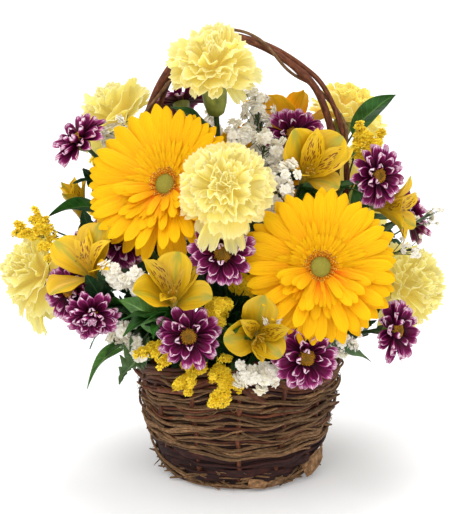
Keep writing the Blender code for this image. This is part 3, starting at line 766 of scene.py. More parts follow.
# blooms whose petals open another way than their solid faces
TURNED = {
    "carnation_top": (-0.06, -0.42, 0.90),
    "alstroemeria_high": (0.10, -0.82, 0.50), "alstroemeria_centre": (-0.04, -0.64, 0.76),
    "alstroemeria_far_left": (-0.32, -0.10, 0.94), "alstroemeria_left": (-0.30, -0.46, 0.84),
    "alstroemeria_right": (0.84, -0.40, -0.05),
    "mum_upper_left": (-0.66, -0.26, 0.70), "mum_left_low": (0.05, -0.90, -0.42),
    "mum_upper_right": (0.05, -0.88, 0.48),
    "mum_right_high": (0.64, -0.75, 0.12),
}


def bloom_place(node):
    """The middle of a bloom's face and its facing, from the flat round cap of its solid."""
    widest = max(flat_faces(node), key=lambda flat: flat[:2])
    facing = Vector(TURNED[node]).normalized() if node in TURNED else widest[3]
    return widest[2] + Vector(SHIFTS.get(node, (0.0, 0.0, 0.0))) * MM, facing


def stem_foot(node):
    """The middle of the stem's lower end: the ring of points nearest to the foam's focus."""
    places = {tuple(round(c, 6) for c in v.co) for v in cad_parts[node].data.vertices}
    nearest = sorted(places, key=lambda place: (Vector(place) - FOCUS).length)[:6]
    return sum((Vector(place) for place in nearest), Vector()) / 6.0


def stem_line(foot, neck, facing, count=18):
    """A stem's line: straight out of the foam, then in a bend up to the neck."""
    straight = (foot - FOCUS).normalized()
    start = foot + straight * STEM_DEPTH
    reach = 0.30 * (neck - start).length
    return [foot] + bezier(start, start + straight * reach, neck - facing * reach, neck, count)


def spray_ends(node, tip_area):
    """The tips of a spray's branches and the direction of each, and the fork they leave."""
    tips = [(flat[2], -flat[3]) for flat in flat_faces(node)
            if flat[0] == 4 and abs(flat[1] - tip_area) < 0.08 * tip_area]
    total = np.zeros((3, 3))
    pull = np.zeros(3)
    for place, direction in tips:
        across = np.eye(3) - np.outer(direction, direction)
        total += across
        pull += across @ np.array(place)
    fork = Vector(np.linalg.solve(total, pull))
    return [(place, -direction) for place, direction in tips], fork


# ---- Leaves and stems ----
def blade(outline, fold=0.25, wave=0.0, across=4, along=10, bend=0.0, lobes=0):
    """A leaf one unit long along Y: its outline gives the half width at each place."""
    def shape(u, v):
        side = 2.0 * u - 1.0
        half = outline(v)
        if lobes:
            tooth = abs(((v * lobes) % 1.0) * 2.0 - 1.0)
            half *= 1.0 - 0.42 * tooth * abs(side) * min(1.0, 6.0 * (1.0 - v))
        y = v - 0.10 * (1.0 if lobes else 0.0) * abs(side) * half
        height = fold * half * abs(side) + wave * half * math.sin(9.0 * v + 2.0 * side)
        return bent(side * half, y, height, 1.0, bend)
    return sheet(across, along, shape, 0.012)


def lance_outline(v):
    return 0.15 * max(0.10, math.sin(math.pi * v ** 0.8) ** 0.85)


def oval_outline(v):
    return 0.26 * max(0.07, math.sin(math.pi * min(1.0, v ** 0.75)) ** 0.8)


LEAF_SHAPES = {
    "leaf_lance": [blade(lance_outline, 0.35, 0.25, bend=bend) for bend in (-25.0, 30.0, -70.0)],
    "leaf_lobed": [blade(oval_outline, 0.30, 0.15, 4, 12, bend, lobes=4) for bend in (-20.0, 35.0)],
}
BLOOM_RADII = {"gerbera": 0.052, "carnation": 0.032, "mum": 0.024, "alstroemeria": 0.031}
BLOOMS = [bloom_place(node) + (radius,) for node in sorted(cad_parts)
          for kind, radius in BLOOM_RADII.items() if node.startswith(kind)]


def hides(point, bloom):
    """Whether a point lies right in front of a bloom."""
    middle, facing, radius = bloom
    away = point - middle
    front = away.dot(facing)
    return -2.0 * MM < front < 40.0 * MM and (away - front * facing).length < radius


def leaves_along(copies, draw, line, material, number, low, high, length):
    """Leaves growing out of a stem between two shares of its line."""
    for _ in range(number):
        place = draw.uniform(low, high) * (len(line) - 1)
        step = min(int(place), len(line) - 2)
        root = line[step].lerp(line[step + 1], place - step)
        ahead = (line[step + 1] - line[step]).normalized()
        outward = Vector((root.x, root.y, 0.0))
        for _ in range(LEAF_TRIES):
            swing = Vector((draw.uniform(-1, 1), draw.uniform(-1, 1), draw.uniform(-0.6, 0.8)))
            aim = (ahead * 0.6 + outward.normalized() * 0.7 + swing * 0.8).normalized()
            if root.z + aim.z * length < LOWEST_LEAF:
                aim.z = abs(aim.z)
            clear = not any(hides(root + aim * share * length, bloom)
                            for share in (0.2, 0.4, 0.6, 0.85, 1.1) for bloom in BLOOMS)
            if clear:
                break
        if not clear:
            continue
        turn = aim.to_track_quat("Y", "Z").to_matrix().to_4x4()
        size = length * draw.uniform(0.7, 1.15)
        matrix = (Matrix.Translation(root) @ turn @ rotation("Y", sway(draw, 50.0))
                  @ Matrix.Scale(size, 4))
        # painted shade: leaves deep inside the bunch carry a lower shade
        depth = (root + aim * 0.6 * length - BUNCH_MIDDLE).length / BUNCH_RADIUS
        shade = draw.uniform(0.3, 1.0) * min(1.0, max(0.1, depth * depth))
        copies.append((draw.choice(LEAF_SHAPES[material]), matrix, material, shade))


# leaves that close the view through the bunch, dark with painted shade, by the flower they grow on:
# (root, tip)
BACKING_LEAVES = {
    "mum_centre": [((0.004, -0.030, 0.118), (0.006, -0.040, 0.172)),
                   ((-0.020, -0.030, 0.120), (-0.016, -0.046, 0.166))],
    "mum_front_right": [((0.016, -0.050, 0.100), (0.010, -0.062, 0.148))],
    "mum_right_low": [((0.080, -0.020, 0.110), (0.098, -0.030, 0.160))],
    "mum_middle_left": [((-0.097, -0.036, 0.164), (-0.105, -0.034, 0.200)),
                        ((-0.088, -0.020, 0.200), (-0.106, -0.014, 0.222))],
    "mum_left": [((-0.072, -0.040, 0.130), (-0.062, -0.048, 0.172))],
}


def backing_leaves(copies, node):
    """Broad leaves with their faces to the front."""
    for root, tip in BACKING_LEAVES.get(node, ()):
        along = Vector(tip) - Vector(root)
        ahead = along.normalized()
        front = Vector((0.0, -1.0, 0.0))
        front = (front - ahead * front.dot(ahead)).normalized()
        turn = Matrix((ahead.cross(front), ahead, front)).transposed().to_4x4()
        matrix = Matrix.Translation(Vector(root)) @ turn @ Matrix.Scale(along.length, 4)
        # painted shade: a low shade makes them the dark of the deep gaps
        copies.append((LEAF_SHAPES["leaf_lobed"][1], matrix, "leaf_lobed", 0.30))


def named_leaf(node, leaf):
    """A leaf on its stalk, along the same arch as its solid."""
    base, arch, tip = Vector(leaf.base), Vector(leaf.arch), Vector(leaf.tip)
    lobed = leaf.kind == "fern"

    def spine(t):
        return (1 - t) ** 2 * base + 2 * t * (1 - t) * arch + t * t * tip

    def shape(u, v):
        side = 2.0 * u - 1.0
        ahead = (spine(min(1.0, v + 0.01)) - spine(max(0.0, v - 0.01))).normalized()
        across = ahead.cross(UP).normalized()
        across.rotate(Matrix.Rotation(math.radians(leaf.roll), 3, ahead))
        over = across.cross(ahead)
        half = leaf.half_width * max(0.05, math.sin(math.pi * min(1.0, v ** 0.75)) ** 0.9) * 1.12
        if lobed:
            tooth = abs(((v * 8.0) % 1.0) * 2.0 - 1.0)
            half *= 1.15 - 0.62 * tooth * abs(side) * min(1.0, 6.0 * (1.0 - v))
        lift = half * (0.28 * abs(side) + 0.12 * math.sin(8.0 * v + 2.5 * side))
        back = (0.35 * half * abs(side)) if lobed else 0.0
        return spine(v) + across * side * half + over * lift - ahead * back

    # painted light: the fern leaves carry a higher shade than the others, to lift their shaded
    # undersides
    copies = [(sheet(8, 48, shape, 0.45 * MM), None, "leaf_" + leaf.kind, 0.8 if lobed else 0.55)]
    stalk = stem_line(stem_foot(node), base, (spine(0.05) - base).normalized(), 14)
    tube(copies, "stem", stalk, np.linspace(1.1, 0.7, len(stalk)) * MM, 6, 0.5)
    joined(node, "_blade", copies, 60.0)


# ---- Gerbera ----
def petal_outline(v, widest, base, blunt, least, swell=1.0, close=0.5):
    """How wide a petal is at a share of its length: one at its widest place.

    It starts at its base width; the higher blunt, the fuller its tip, never under the least.
    """
    if v < widest:
        return base + (1.0 - base) * math.sin(0.5 * math.pi * v / widest) ** swell
    return max(least, 1.0 - ((v - widest) / (1.02 - widest)) ** blunt) ** close


def ray_petal(length, width, bend, across=6, along=7, thickness=0.4, base=0.40, widest=0.70,
              blunt=2.5):
    """A long petal with lengthwise grooves and a rounded tip; its sizes are in millimetres."""
    length, width = length * MM, width * MM

    def shape(u, v):
        side = 2.0 * u - 1.0
        half = 0.5 * width * petal_outline(v, widest, base, blunt, 0.16, close=1.0 / blunt)
        y = length * (v - 0.05 * side * side * v ** 8)
        groove = 0.024 * width * math.cos(3.0 * math.pi * side) * min(1.0, 3.0 * v)
        height = groove * (1.0 - 0.4 * v ** 4) - 0.06 * width * side * side
        return bent(side * half, y, height, length, bend)
    return sheet(across, along, shape, thickness * MM, 1.4)


def studded_disc(copies, draw, turn, material, radius, rise, number, size):
    """A low dome packed with small buds in the spiral order of a flower's eye."""
    dome = ball(16, 8, lambda p: (p.x * radius, p.y * radius, max(-0.4, p.z) * rise))
    copies.append((dome, turn, material, 0.35))
    bud = ball(4, 3, lambda p: (p.x, p.y, p.z * 1.4))
    for i in range(number):
        share = math.sqrt((i + 0.5) / number)
        angle = GOLDEN_ANGLE * i
        place = (radius * share * math.cos(angle), radius * share * math.sin(angle),
                 rise * math.sqrt(max(0.0, 1.0 - share * share)))
        matrix = Matrix.Translation(place) @ Matrix.Scale(size * draw.uniform(0.8, 1.2), 4)
        copies.append((bud, turn @ matrix, material, 0.25 + 0.65 * share + sway(draw, 0.1)))


GERBERA_PETALS = {
    "long": [ray_petal(45.5, 9.5, bend) for bend in (-14.0, -20.0, -8.0)],
    "front": [ray_petal(43.0, 9.2, bend) for bend in (-14.0, -20.0, -8.0)],
    "short": [ray_petal(30.0, 6.8, bend, along=6) for bend in (-16.0, -34.0, 2.0)],
    "stubby": [ray_petal(22.0, 5.6, bend, along=6) for bend in (-10.0, -30.0)],
    "inner": [ray_petal(24.0, 3.6, bend, 4, 5, blunt=1.8) for bend in (-10.0, -18.0)],
    "narrow": [ray_petal(15.0, 2.8, bend, 4, 4, blunt=1.8) for bend in (-6.0, -16.0)],
    "small": [ray_petal(7.5, 1.9, -14.0, 2, 4)],
}
# name of the petals, how many, the arc they fill, radius and height of their base in
# millimetres, tilt forward, and how much that tilt varies
GERBERA_ROWS = [
    ("long", 33, (-90.0, 270.0), 6.5, -1.6, 10.5, 2.0),
    ("front", 25, (-38.0, 218.0), 6.6, -0.6, 12.4, 1.2),
    ("front", 9, (206.0, 334.0), 6.6, -0.4, 24.0, 6.0),
    ("short", 14, (186.0, 354.0), 6.8, 0.4, 35.0, 8.0),
    ("stubby", 9, (200.0, 340.0), 6.8, 0.8, 44.0, 10.0),
    ("inner", 34, (-20.0, 200.0), 6.9, 0.1, 14.4, 1.6),
    ("inner", 22, (196.0, 344.0), 6.9, 0.9, 34.0, 10.0),
    ("narrow", 50, (-90.0, 270.0), 7.2, 0.6, 20.0, 4.0),
    ("small", 44, (-90.0, 270.0), 7.6, 0.9, 30.0, 10.0),
]


def along_share(stock):
    """Let the map's second direction run from 0 to 1 over the whole strand."""
    uv = stock.map.copy()
    uv[:, 1] /= uv[:, 1].max()
    return stock._replace(map=uv)


# a tiny floret of the ring round the eye: a stalk with a split tip
BRISTLE = along_share(strand(
    [Vector(point) * MM for point in
     ((0.0, 0.0, 0.0), (0.0, 0.4, 1.4), (0.0, 0.9, 2.4), (0.0, 1.6, 3.1))],
    np.array((0.42, 0.36, 0.50, 0.16)) * MM, sides=5))
BRACT = ray_petal(13.0, 3.4, 20.0, 2, 4)


def make_gerbera(node):
    """Nine rings of petals, three of bristles, the eye, and the green cup with its bracts."""
    draw = random.Random(node)
    middle, facing = bloom_place(node)
    turn = facing_matrix(middle, facing)
    if node == "gerbera_left":
        turn = Matrix.Translation((3.5 * MM, 0.0, -1.0 * MM)) @ turn
    copies = []
    for name, number, (low, high), radius, height, tilt, vary in GERBERA_ROWS:
        step = (high - low) / number
        for i in range(number):
            angle = low + step * (i + 0.5 + sway(draw, 0.24))
            down = max(0.0, -math.sin(math.radians(angle)))
            lean = tilt + sway(draw, vary) - (8.0 * down if name == "long" else 0.0)
            size = draw.uniform(0.95, 1.03)
            if name in ("long", "front") and node == "gerbera_left":
                size *= 1.0 + 0.17 * max(0.0, math.cos(math.radians(angle - 172.0)))
            matrix = in_ring(turn, angle - 90.0, radius, height, lean, sway(draw, 7.0), size)
            inner = name in ("inner", "narrow", "small") and angle % 360.0 > 186.0
            copies.append((draw.choice(GERBERA_PETALS[name]), matrix,
                           "gerbera_inner" if inner else "gerbera_petal",
                           draw.uniform(0.2, 0.9)))
    for ring, radius, number in ((0, 7.0, 32), (1, 8.1, 38), (2, 9.3, 42)):
        for angle in ring_angles(draw, number, 0.3):
            matrix = in_ring(turn, angle, radius, 1.2 - 0.1 * ring,
                             draw.uniform(-14.0, 16.0) - 10.0 * ring, 0.0,
                             draw.uniform(0.75, 1.05))
            copies.append((BRISTLE, matrix, "gerbera_bristle", draw.uniform(0.0, 1.0)))
    studded_disc(copies, draw, turn @ Matrix.Translation((0.0, 0.0, 1.0 * MM)), "gerbera_eye",
                 6.9 * MM, 2.2 * MM, 150, 0.40 * MM)
    # the green cup behind the petals
    cup_round(copies, "calyx", turn, (-15.0, -13.0, -9.0, -5.0, -2.0),
              (3.0, 5.5, 8.5, 10.5, 10.0), 16, 0.4)
    for ring in range(2):
        for i in range(18):
            matrix = in_ring(turn, 20.0 * i + 10.0 * ring, 6.0, -12.0 + 3.0 * ring,
                             50.0 + sway(draw, 6.0))
            copies.append((BRACT, matrix, "calyx", draw.uniform(0.2, 0.8)))
    add_stem(copies, node, middle - facing * 15.0 * MM, facing, GERBERA_STEM)
    joined(node, "_flower", copies)


def add_stem(copies, node, neck, facing, radius):
    """A slightly uneven stem from the foam to the neck of a bloom; gives its line."""
    draw = random.Random(node + " stem")
    line = stem_line(stem_foot(node), neck, facing)
    wave = wavering(draw, 0.10)
    radii = radius * (1.0 + wave(np.linspace(0.0, 4.0, len(line))))
    tube(copies, "stem", line, radii, 8, draw.uniform(0.3, 0.7))
    return line


# ---- Carnation ----
def frilled_petal(draw, length, width, bend, power, crumple, cup=0.10):
    """A broad fan on a narrow claw, with slow folds, a curled end and a saw-toothed edge.

    Its length, its width and the size of its folds are in millimetres.
    """
    length, width, crumple = length * MM, width * MM, crumple * MM
    curl = curled(length, bend, power)
    waves = [(draw.uniform(*rates), anywhere(draw), size) for rates, size in
             (((0.6, 1.1), 0.7), ((1.6, 2.4), 0.7), ((3.4, 4.8), 0.24))]
    nick = draw.uniform(0.25, 0.75)
    teeth = [(0.8 if i % 2 else -0.8) * draw.uniform(0.4, 1.5) * MM for i in range(19)]

    def shape(u, v):
        side = 2.0 * u - 1.0
        open_out = clamped((v - 0.12) / 0.78)
        fan = 0.16 + 0.84 * open_out * open_out * (3.0 - 2.0 * open_out)
        y = length * (v - 0.13 * side * side * v * v
                      - 0.12 * math.exp(-((u - nick) / 0.07) ** 2) * v ** 6)
        if v > 0.99:
            y += teeth[int(round(u * 16))]
        ruffle = sum(size * math.sin(2.0 * math.pi * rate * u + start)
                     for rate, start, size in waves)
        height = crumple * ruffle * v ** 1.8 + cup * width * fan * side * side
        return curl(0.5 * width * fan * side * (1.0 - 0.10 * v), y, height)
    return sheet(16, 6, shape, 0.3 * MM, 1.4)


# length, width, bend outward and its power, size of the folds, how many, tilt from the middle
CARNATION_ROWS = [
    (33.0, 28.0, -34.0, 1.5, 1.8, 8, 72.0),
    (34.0, 27.0, -34.0, 1.8, 2.4, 9, 60.0),
    (34.0, 25.0, -32.0, 2.0, 2.8, 9, 48.0),
    (34.5, 23.0, -30.0, 2.0, 3.2, 9, 36.0),
    (34.5, 21.0, -26.0, 2.0, 3.4, 8, 25.0),
    (34.5, 19.0, -22.0, 2.0, 3.6, 7, 14.0),
    (34.0, 17.0, -14.0, 2.0, 3.6, 4, 4.0),
]
PETAL_DRAW = random.Random("frilled petals")
CARNATION_PETALS = [[frilled_petal(PETAL_DRAW, *row[:5]) for _ in range(5)]
                    for row in CARNATION_ROWS]
HANGING_PETALS = [frilled_petal(PETAL_DRAW, 42.0, 14.5, bend, 1.5, 1.7)
                  for bend in (-24.0, -42.0, -58.0)]
# broad petals with slow waves: the full blooms seen from the side
CALM_BLOOMS = ("carnation_left", "carnation_upper_left", "carnation_back_left")
CALM_PETALS = [frilled_petal(PETAL_DRAW, 34.5, 38.0, bend, 1.7, 1.5, 0.03)
               for bend in (-22.0, -34.0, -46.0, -28.0)]
CALM_ROWS = 4
CALM_NUMBER = 6
CALM_HANGING = [frilled_petal(PETAL_DRAW, 46.0, 25.0, bend, 1.5, 1.6) for bend in (-20.0, -36.0)]
HANGING_SIZES = {"carnation_upper_left": 0.72, "carnation_upper_right": 0.75, "carnation_top": 0.86}
CARNATION_SIZES = {"carnation_upper_right": 0.92, "carnation_right": 1.08}
# where the long hanging petals of a bloom are, in degrees from straight down
HANGING_PLACES = {"carnation_top": (-56.0, -20.0, 40.0, 54.0),
                  "carnation_centre": (-56.0, -15.0, 9.0, 54.0),
                  "carnation_left": (-54.0, -34.0, -14.0, 6.0)}
CALYX_TOOTH = ray_petal(8.0, 5.0, -18.0, 4, 5, 0.5, 0.8, 0.1)


def make_carnation(node):
    """Rows of frilled petals out of a long green tube, a few of them hanging below."""
    draw = random.Random(node)
    cap, facing = bloom_place(node)
    middle = cap - facing * 15.0 * MM
    turn = facing_matrix(middle, facing) @ Matrix.Scale(CARNATION_SIZES.get(node, 1.0), 4)
    calm = node in CALM_BLOOMS
    # painted shade: these blooms carry lower shades and come out darker than the rest
    painted_shade_bloom = calm or node == "carnation_right"
    copies = []
    fall = turn.to_3x3().inverted() @ -UP
    low = math.degrees(math.atan2(-fall.x, fall.y))
    for i, swing in enumerate(HANGING_PLACES.get(node, (-39.0, -13.0, 13.0, 39.0))):
        size = HANGING_SIZES.get(node, 1.0) * draw.uniform(0.84, 1.0)
        if node == "carnation_centre":
            size *= 1.12 if i in (1, 2) else 0.80
        matrix = in_ring(turn, low + swing + sway(draw, 5.0), 0.0, -15.0 + 4.0 * (i % 2),
                         draw.uniform(-6.0, 12.0), sway(draw, 25.0), size)
        shape = CALM_HANGING[i % 2] if calm else HANGING_PETALS[i % 3]
        if node == "carnation_centre":
            shape = HANGING_PETALS[0]
        copies.append((shape, matrix, "carnation_petal",
                       draw.uniform(0.0, 0.4) if painted_shade_bloom else draw.uniform(0.5, 0.9)))
    for row, petals in enumerate(CARNATION_PETALS):
        number, tilt = CARNATION_ROWS[row][5:]
        if calm and row < CALM_ROWS:
            number, petals = CALM_NUMBER, CALM_PETALS
        for angle in ring_angles(draw, number, 0.32, draw.uniform(0.0, 360.0)):
            size = draw.uniform(0.84, 1.03)
            # petals on the underside hang
            down = -(turn @ rotation("Z", angle)).col[1].z
            hang = max(0.0, down) * draw.uniform(0.0, 22.0) if row < 2 else 0.0
            matrix = in_ring(turn, angle, 0.0, -18.0, 90.0 - tilt - hang + sway(draw, 10.0),
                             sway(draw, 34.0), size)
            warm = node == "carnation_upper_right" and row > 1
            copies.append((draw.choice(petals), matrix,
                           "carnation_warm" if warm else "carnation_petal",
                           draw.uniform(0.15, 0.70) if painted_shade_bloom else draw.uniform(0.55, 1.0)))
    swollen = 1.25 if node == "carnation_top" else 1.0
    cup_round(copies, "calyx", turn, (-40.0, -38.0, -33.0, -26.0, -20.0, -15.0),
              (2.4, 4.8, 6.2, 6.8, 7.2, 7.4), 14, 0.55, swollen)
    for i in range(5):
        matrix = in_ring(turn, 72.0 * i + 20.0, 6.8 * swollen, -18.5, 72.0)
        copies.append((CALYX_TOOTH, matrix, "calyx", draw.uniform(0.4, 0.8)))
    line = add_stem(copies, node, middle - facing * 39.0 * MM, facing, CARNATION_STEM)
    leaves_along(copies, draw, line, "leaf_lance", 5, 0.35, 0.92, 0.040)
    leaves_along(copies, draw, line, "leaf_lobed", 4, 0.10, 0.45, 0.036)
    joined(node, "_flower", copies, 80.0)


# ---- Mum ----
def spoon_petal(length, width, bend, cup):
    """A short petal whose edges roll up into a spoon."""
    length, width = length * MM, width * MM

    def shape(u, v):
        side = 2.0 * u - 1.0
        half = 0.5 * width * petal_outline(v, 0.66, base=0.40, blunt=2.2, least=0.10)
        y = length * (v - 0.05 * side * side * v ** 8)
        roll = cup * width * side * side + 0.035 * width * math.cos(2.0 * math.pi * side)
        return bent(side * half, y, roll, length, bend)
    return sheet(4, 6, shape, 0.35 * MM, 1.4)


# length, width, bend, cup, how many, base radius, tilt, how much the tilt varies
MUM_ROWS = [
    (17.8, 7.5, -12.0, 0.26, 13, 5.2, 1.0, 9.0),
    (16.6, 7.2, -2.0, 0.32, 12, 5.3, 14.0, 9.0),
    (13.4, 6.4, 10.0, 0.42, 8, 5.6, 31.0, 12.0),
    (8.6, 4.8, 28.0, 0.55, 4, 5.8, 54.0, 12.0),
]
MUM_PETALS = [[spoon_petal(length, width, bend + extra, cup) for extra in (-16.0, 0.0, 16.0)]
              for length, width, bend, cup, *rest in MUM_ROWS]
# a younger bloom, whose inner petals still close over its eye:
# row whose petals it takes, how many, base radius, tilt
YOUNG_ROWS = [(2, 8, 3.6, 50.0), (3, 7, 2.4, 64.0), (3, 5, 1.0, 78.0)]


def make_mum(node):
    """Four rows of spoon petals round a studded eye."""
    draw = random.Random(node)
    middle, facing = bloom_place(node)
    young = node == "mum_left_low"
    turn = facing_matrix(middle, facing) @ Matrix.Scale(0.86 if young else 1.0, 4)
    copies = []
    for row, number, radius, tilt in YOUNG_ROWS if young else ():
        for angle in ring_angles(draw, number, 0.2):
            matrix = in_ring(turn, angle, radius, 0.0, tilt + sway(draw, 8.0), sway(draw, 16.0))
            copies.append((draw.choice(MUM_PETALS[row]), matrix, "mum_petal",
                           draw.uniform(0.0, 0.4)))
    for row, petals in enumerate(MUM_PETALS):
        number, radius, tilt, vary = MUM_ROWS[row][4:]
        for angle in ring_angles(draw, number, 0.24, draw.uniform(0.0, 360.0)):
            matrix = in_ring(turn, angle, radius, -1.4 + 0.3 * row, tilt + sway(draw, vary),
                             sway(draw, 20.0), draw.uniform(0.86, 1.05))
            copies.append((draw.choice(petals), matrix, "mum_petal",
                           0.22 * row + draw.uniform(0.0, 0.34)))
    studded_disc(copies, draw, turn, "mum_eye", 6.0 * MM, 3.0 * MM, 110, 0.55 * MM)
    cup_round(copies, "calyx", turn, (-11.0, -9.0, -5.0, -1.8), (1.6, 3.6, 5.4, 6.2), 12, 0.3)
    line = add_stem(copies, node, middle - facing * 10.5 * MM, facing, MUM_STEM)
    leaves_along(copies, draw, line, "leaf_lobed", 9, 0.10, 0.86, 0.036)
    backing_leaves(copies, node)
    joined(node, "_flower", copies)


# ---- Alstroemeria ----
def tepal(draw, length, width, widest, bend, cup, point, waves):
    """A tepal on a narrow claw, broad or pointed, wavy along its edges and curled at its tip."""
    length, width = length * MM, width * MM
    curl = curled(length, bend, 2.0)
    rate, start = draw.uniform(0.9, 1.1) * waves, anywhere(draw)

    def shape(u, v):
        side = 2.0 * u - 1.0
        half = 0.5 * width * petal_outline(v, widest, base=0.20, blunt=2.3, least=0.06, swell=1.4)
        half *= 1.0 + 0.05 * math.sin(2.3 * rate * v + start)
        y = length * (v + point * (1.0 - abs(side)) * v ** 10)
        frill = side * abs(side) * v * math.sin(rate * v + start) + 0.3 * math.sin(5.0 * side + start)
        height = half * (cup * side * side + 0.22 * frill * v + 0.05 * math.cos(9.0 * side))
        return curl(side * half, y, height)
    return sheet(8, 11, shape, 0.35 * MM, 1.3)


TEPAL_DRAW = random.Random("tepals")
# length, width, widest place, bend, cup, point and waves
BROAD_TEPALS = [tepal(TEPAL_DRAW, 30.0, 22.0, 0.66, bend, 0.45, 0.03, 7.0)
                for bend in (-52.0, -34.0, -14.0, -42.0)]
NARROW_TEPALS = [tepal(TEPAL_DRAW, 31.0, 12.5, 0.60, bend, 0.55, 0.10, 9.0)
                 for bend in (-62.0, -44.0, -28.0)]
BUD_TEPALS = [tepal(TEPAL_DRAW, 31.0, 11.5, 0.60, bend, 0.60, 0.10, 9.0)
              for bend in (-16.0, -6.0, -26.0)]
SLENDER = {"alstroemeria_right": NARROW_TEPALS, "alstroemeria_far_left": BUD_TEPALS}
HALF_OPEN = {"alstroemeria_right": 0.94, "alstroemeria_far_left": 0.70}
TEPAL_SCALES = {"alstroemeria_right": 0.95, "alstroemeria_far_left": 0.95,
                "alstroemeria_high": 1.22, "alstroemeria_back_top": 1.42}
# painted shade: how much the shade of the tepals drops on the blooms low in the bunch
TEPAL_SHADOWS = {"alstroemeria_low": 0.55, "alstroemeria_centre": 0.35}
# turn from upright, spread and size of the three broad and the three narrow tepals, by turns
TEPAL_PLACES = {
    "alstroemeria_high": [(25, 58, 1.08), (-22, 66, 1.0), (-52, 54, 1.0), (-74, 60, 1.0),
                          (-118, 36, 0.64), (118, 84, 0.7)],
    "alstroemeria_centre": [(-4, 58, 1.0), (50, 62, 1.0), (108, 50, 1.0), (-50, 66, 0.95),
                            (-108, 50, 0.92), (150, 76, 0.72)],
    "alstroemeria_low": [(-8, 58, 1.0), (46, 78, 0.85), (102, 66, 0.95), (-80, 64, 0.85),
                         (-128, 60, 0.85), (184, 66, 0.74)],
    "alstroemeria_left": [(78, 48, 1.0), (24, 66, 1.0), (-6, 58, 1.05), (-42, 66, 0.9),
                          (164, 28, 0.95), (-100, 62, 0.8)],
}


def make_alstroemeria(node):
    """Three broad and three narrow tepals by turns, with six stamens."""
    draw = random.Random(node)
    middle, facing = bloom_place(node)
    closed = 1.0 - HALF_OPEN.get(node, 1.0)
    turn = facing_matrix(middle, facing) @ Matrix.Scale(TEPAL_SCALES.get(node, 1.07), 4)
    aside = sway(draw, 20.0)
    places = TEPAL_PLACES.get(node, [(60.0 * i + aside, 60 + 7 * (i % 2), 1.0) for i in range(6)])
    vary = 3.0 if node in TEPAL_PLACES else 8.0
    copies = []
    for i, (angle, spread, size) in enumerate(places):
        broad = i % 2 == 0
        shapes = SLENDER.get(node, BROAD_TEPALS if broad else NARROW_TEPALS)
        matrix = in_ring(turn, angle + sway(draw, vary), 2.4 if broad else 1.4, -17.0,
                         spread + 50.0 * closed + sway(draw, 4.0), sway(draw, 12.0),
                         size * draw.uniform(0.95, 1.03))
        material = "tepal_broad" if broad else "tepal_narrow"
        if node == "alstroemeria_back_top":
            material = "tepal_orange"
        copies.append((draw.choice(shapes), matrix, material,
                       max(0.0, draw.uniform(0.4, 1.0) - TEPAL_SHADOWS.get(node, 0.0))))
    for i in range(6):
        lean = Vector((sway(draw, 4.0), draw.uniform(-7.0, 1.0), 3.0)) * MM
        line = bezier(Vector((0.0, 0.0, -15.0)) * MM, Vector((0.0, 0.0, -6.0)) * MM,
                      0.5 * lean, lean, 8)
        radii = np.array((0.35, 0.35, 0.32, 0.3, 0.3, 0.3, 0.65, 0.5)) * MM
        copies.append((along_share(strand([turn @ point for point in line], radii, 6)), None,
                       "stamen", 0.5))
    cup_round(copies, "calyx", turn, (-23.0, -21.0, -18.5, -17.0), (1.3, 2.8, 3.4, 2.8), 12, 0.5)
    cup_round(copies, "tepal_broad", turn, (-18.0, -16.0, -14.6), (3.3, 3.3, 2.0), 12, 0.6)
    line = add_stem(copies, node, middle - facing * 22.0 * MM, facing, ALSTROEMERIA_STEM)
    leaves_along(copies, draw, line, "leaf_lance", 6, 0.3, 0.90, 0.046)
    leaves_along(copies, draw, line, "leaf_lobed", 4, 0.10, 0.45, 0.036)
    joined(node, "_flower", copies, 70.0)


# ---- Gypsophila and solidago ----
def little_petal(length, width, lift, pointed):
    """A closed keeled petal of a few faces for the smallest flowers, pointed or blunt."""
    left, right = (-0.5 * width, 0.62 * length, lift), (0.5 * width, 0.62 * length, lift)
    if pointed:
        points = np.array([(0.0, 0.0, 0.0), left, (0.0, length, -0.4 * lift), right])
        corners = np.array([0, 3, 1, 1, 3, 2, 0, 1, 2, 0, 2, 3])
    else:
        points = np.array([(0.0, 0.0, 0.0), left, (-0.28 * width, length, -0.4 * lift),
                           (0.28 * width, length, -0.4 * lift), right])
        corners = np.array([0, 4, 1, 1, 4, 2, 2, 4, 3, 0, 1, 2, 0, 2, 3, 0, 3, 4])
    sizes = np.full(len(corners) // 3, 3)
    uv = np.stack([points[:, 0] / width + 0.5, points[:, 1] / length], 1)[corners]
    return Stock(points, corners, sizes, uv)


def floret(draw, radius, rows, pointed=False):
    """A tiny double flower: rows of little petals, each (how many, length, width, tilt)."""
    copies = []
    for number, length, width, tilt in rows:
        for angle in ring_angles(draw, number, 0.2, draw.uniform(0.0, 360.0)):
            matrix = in_ring(Matrix(), angle, 0.0, 0.0, tilt + sway(draw, 12.0), 0.0,
                             draw.uniform(0.85, 1.1))
            copies.append((little_petal(length * radius, width * radius, 0.12 * radius, pointed),
                           matrix))
    return gathered(copies)


FLORET_DRAW = random.Random("florets")
WHITE_FLORETS = [
    floret(FLORET_DRAW, 4.2 * MM, ((6, 0.80, 0.66, -24.0), (8, 1.0, 0.62, 6.0),
                                   (7, 0.85, 0.60, 32.0), (4, 0.62, 0.60, 60.0),
                                   (4, 0.46, 0.70, 80.0)))
    for _ in range(5)]
WHITE_BUD = ball(6, 4, lambda p: (p.x * 1.1 * MM, p.y * 1.1 * MM, p.z * 1.5 * MM))
GOLD_FLORETS = [floret(FLORET_DRAW, 2.3 * MM, ((5, 1.05, 0.7, 24.0),), True) for _ in range(4)]
# area of the flat tip of a branch in the solids, square metres
GYPSOPHILA_TIP = 22.2e-6
SOLIDAGO_TIP = 9.28e-6
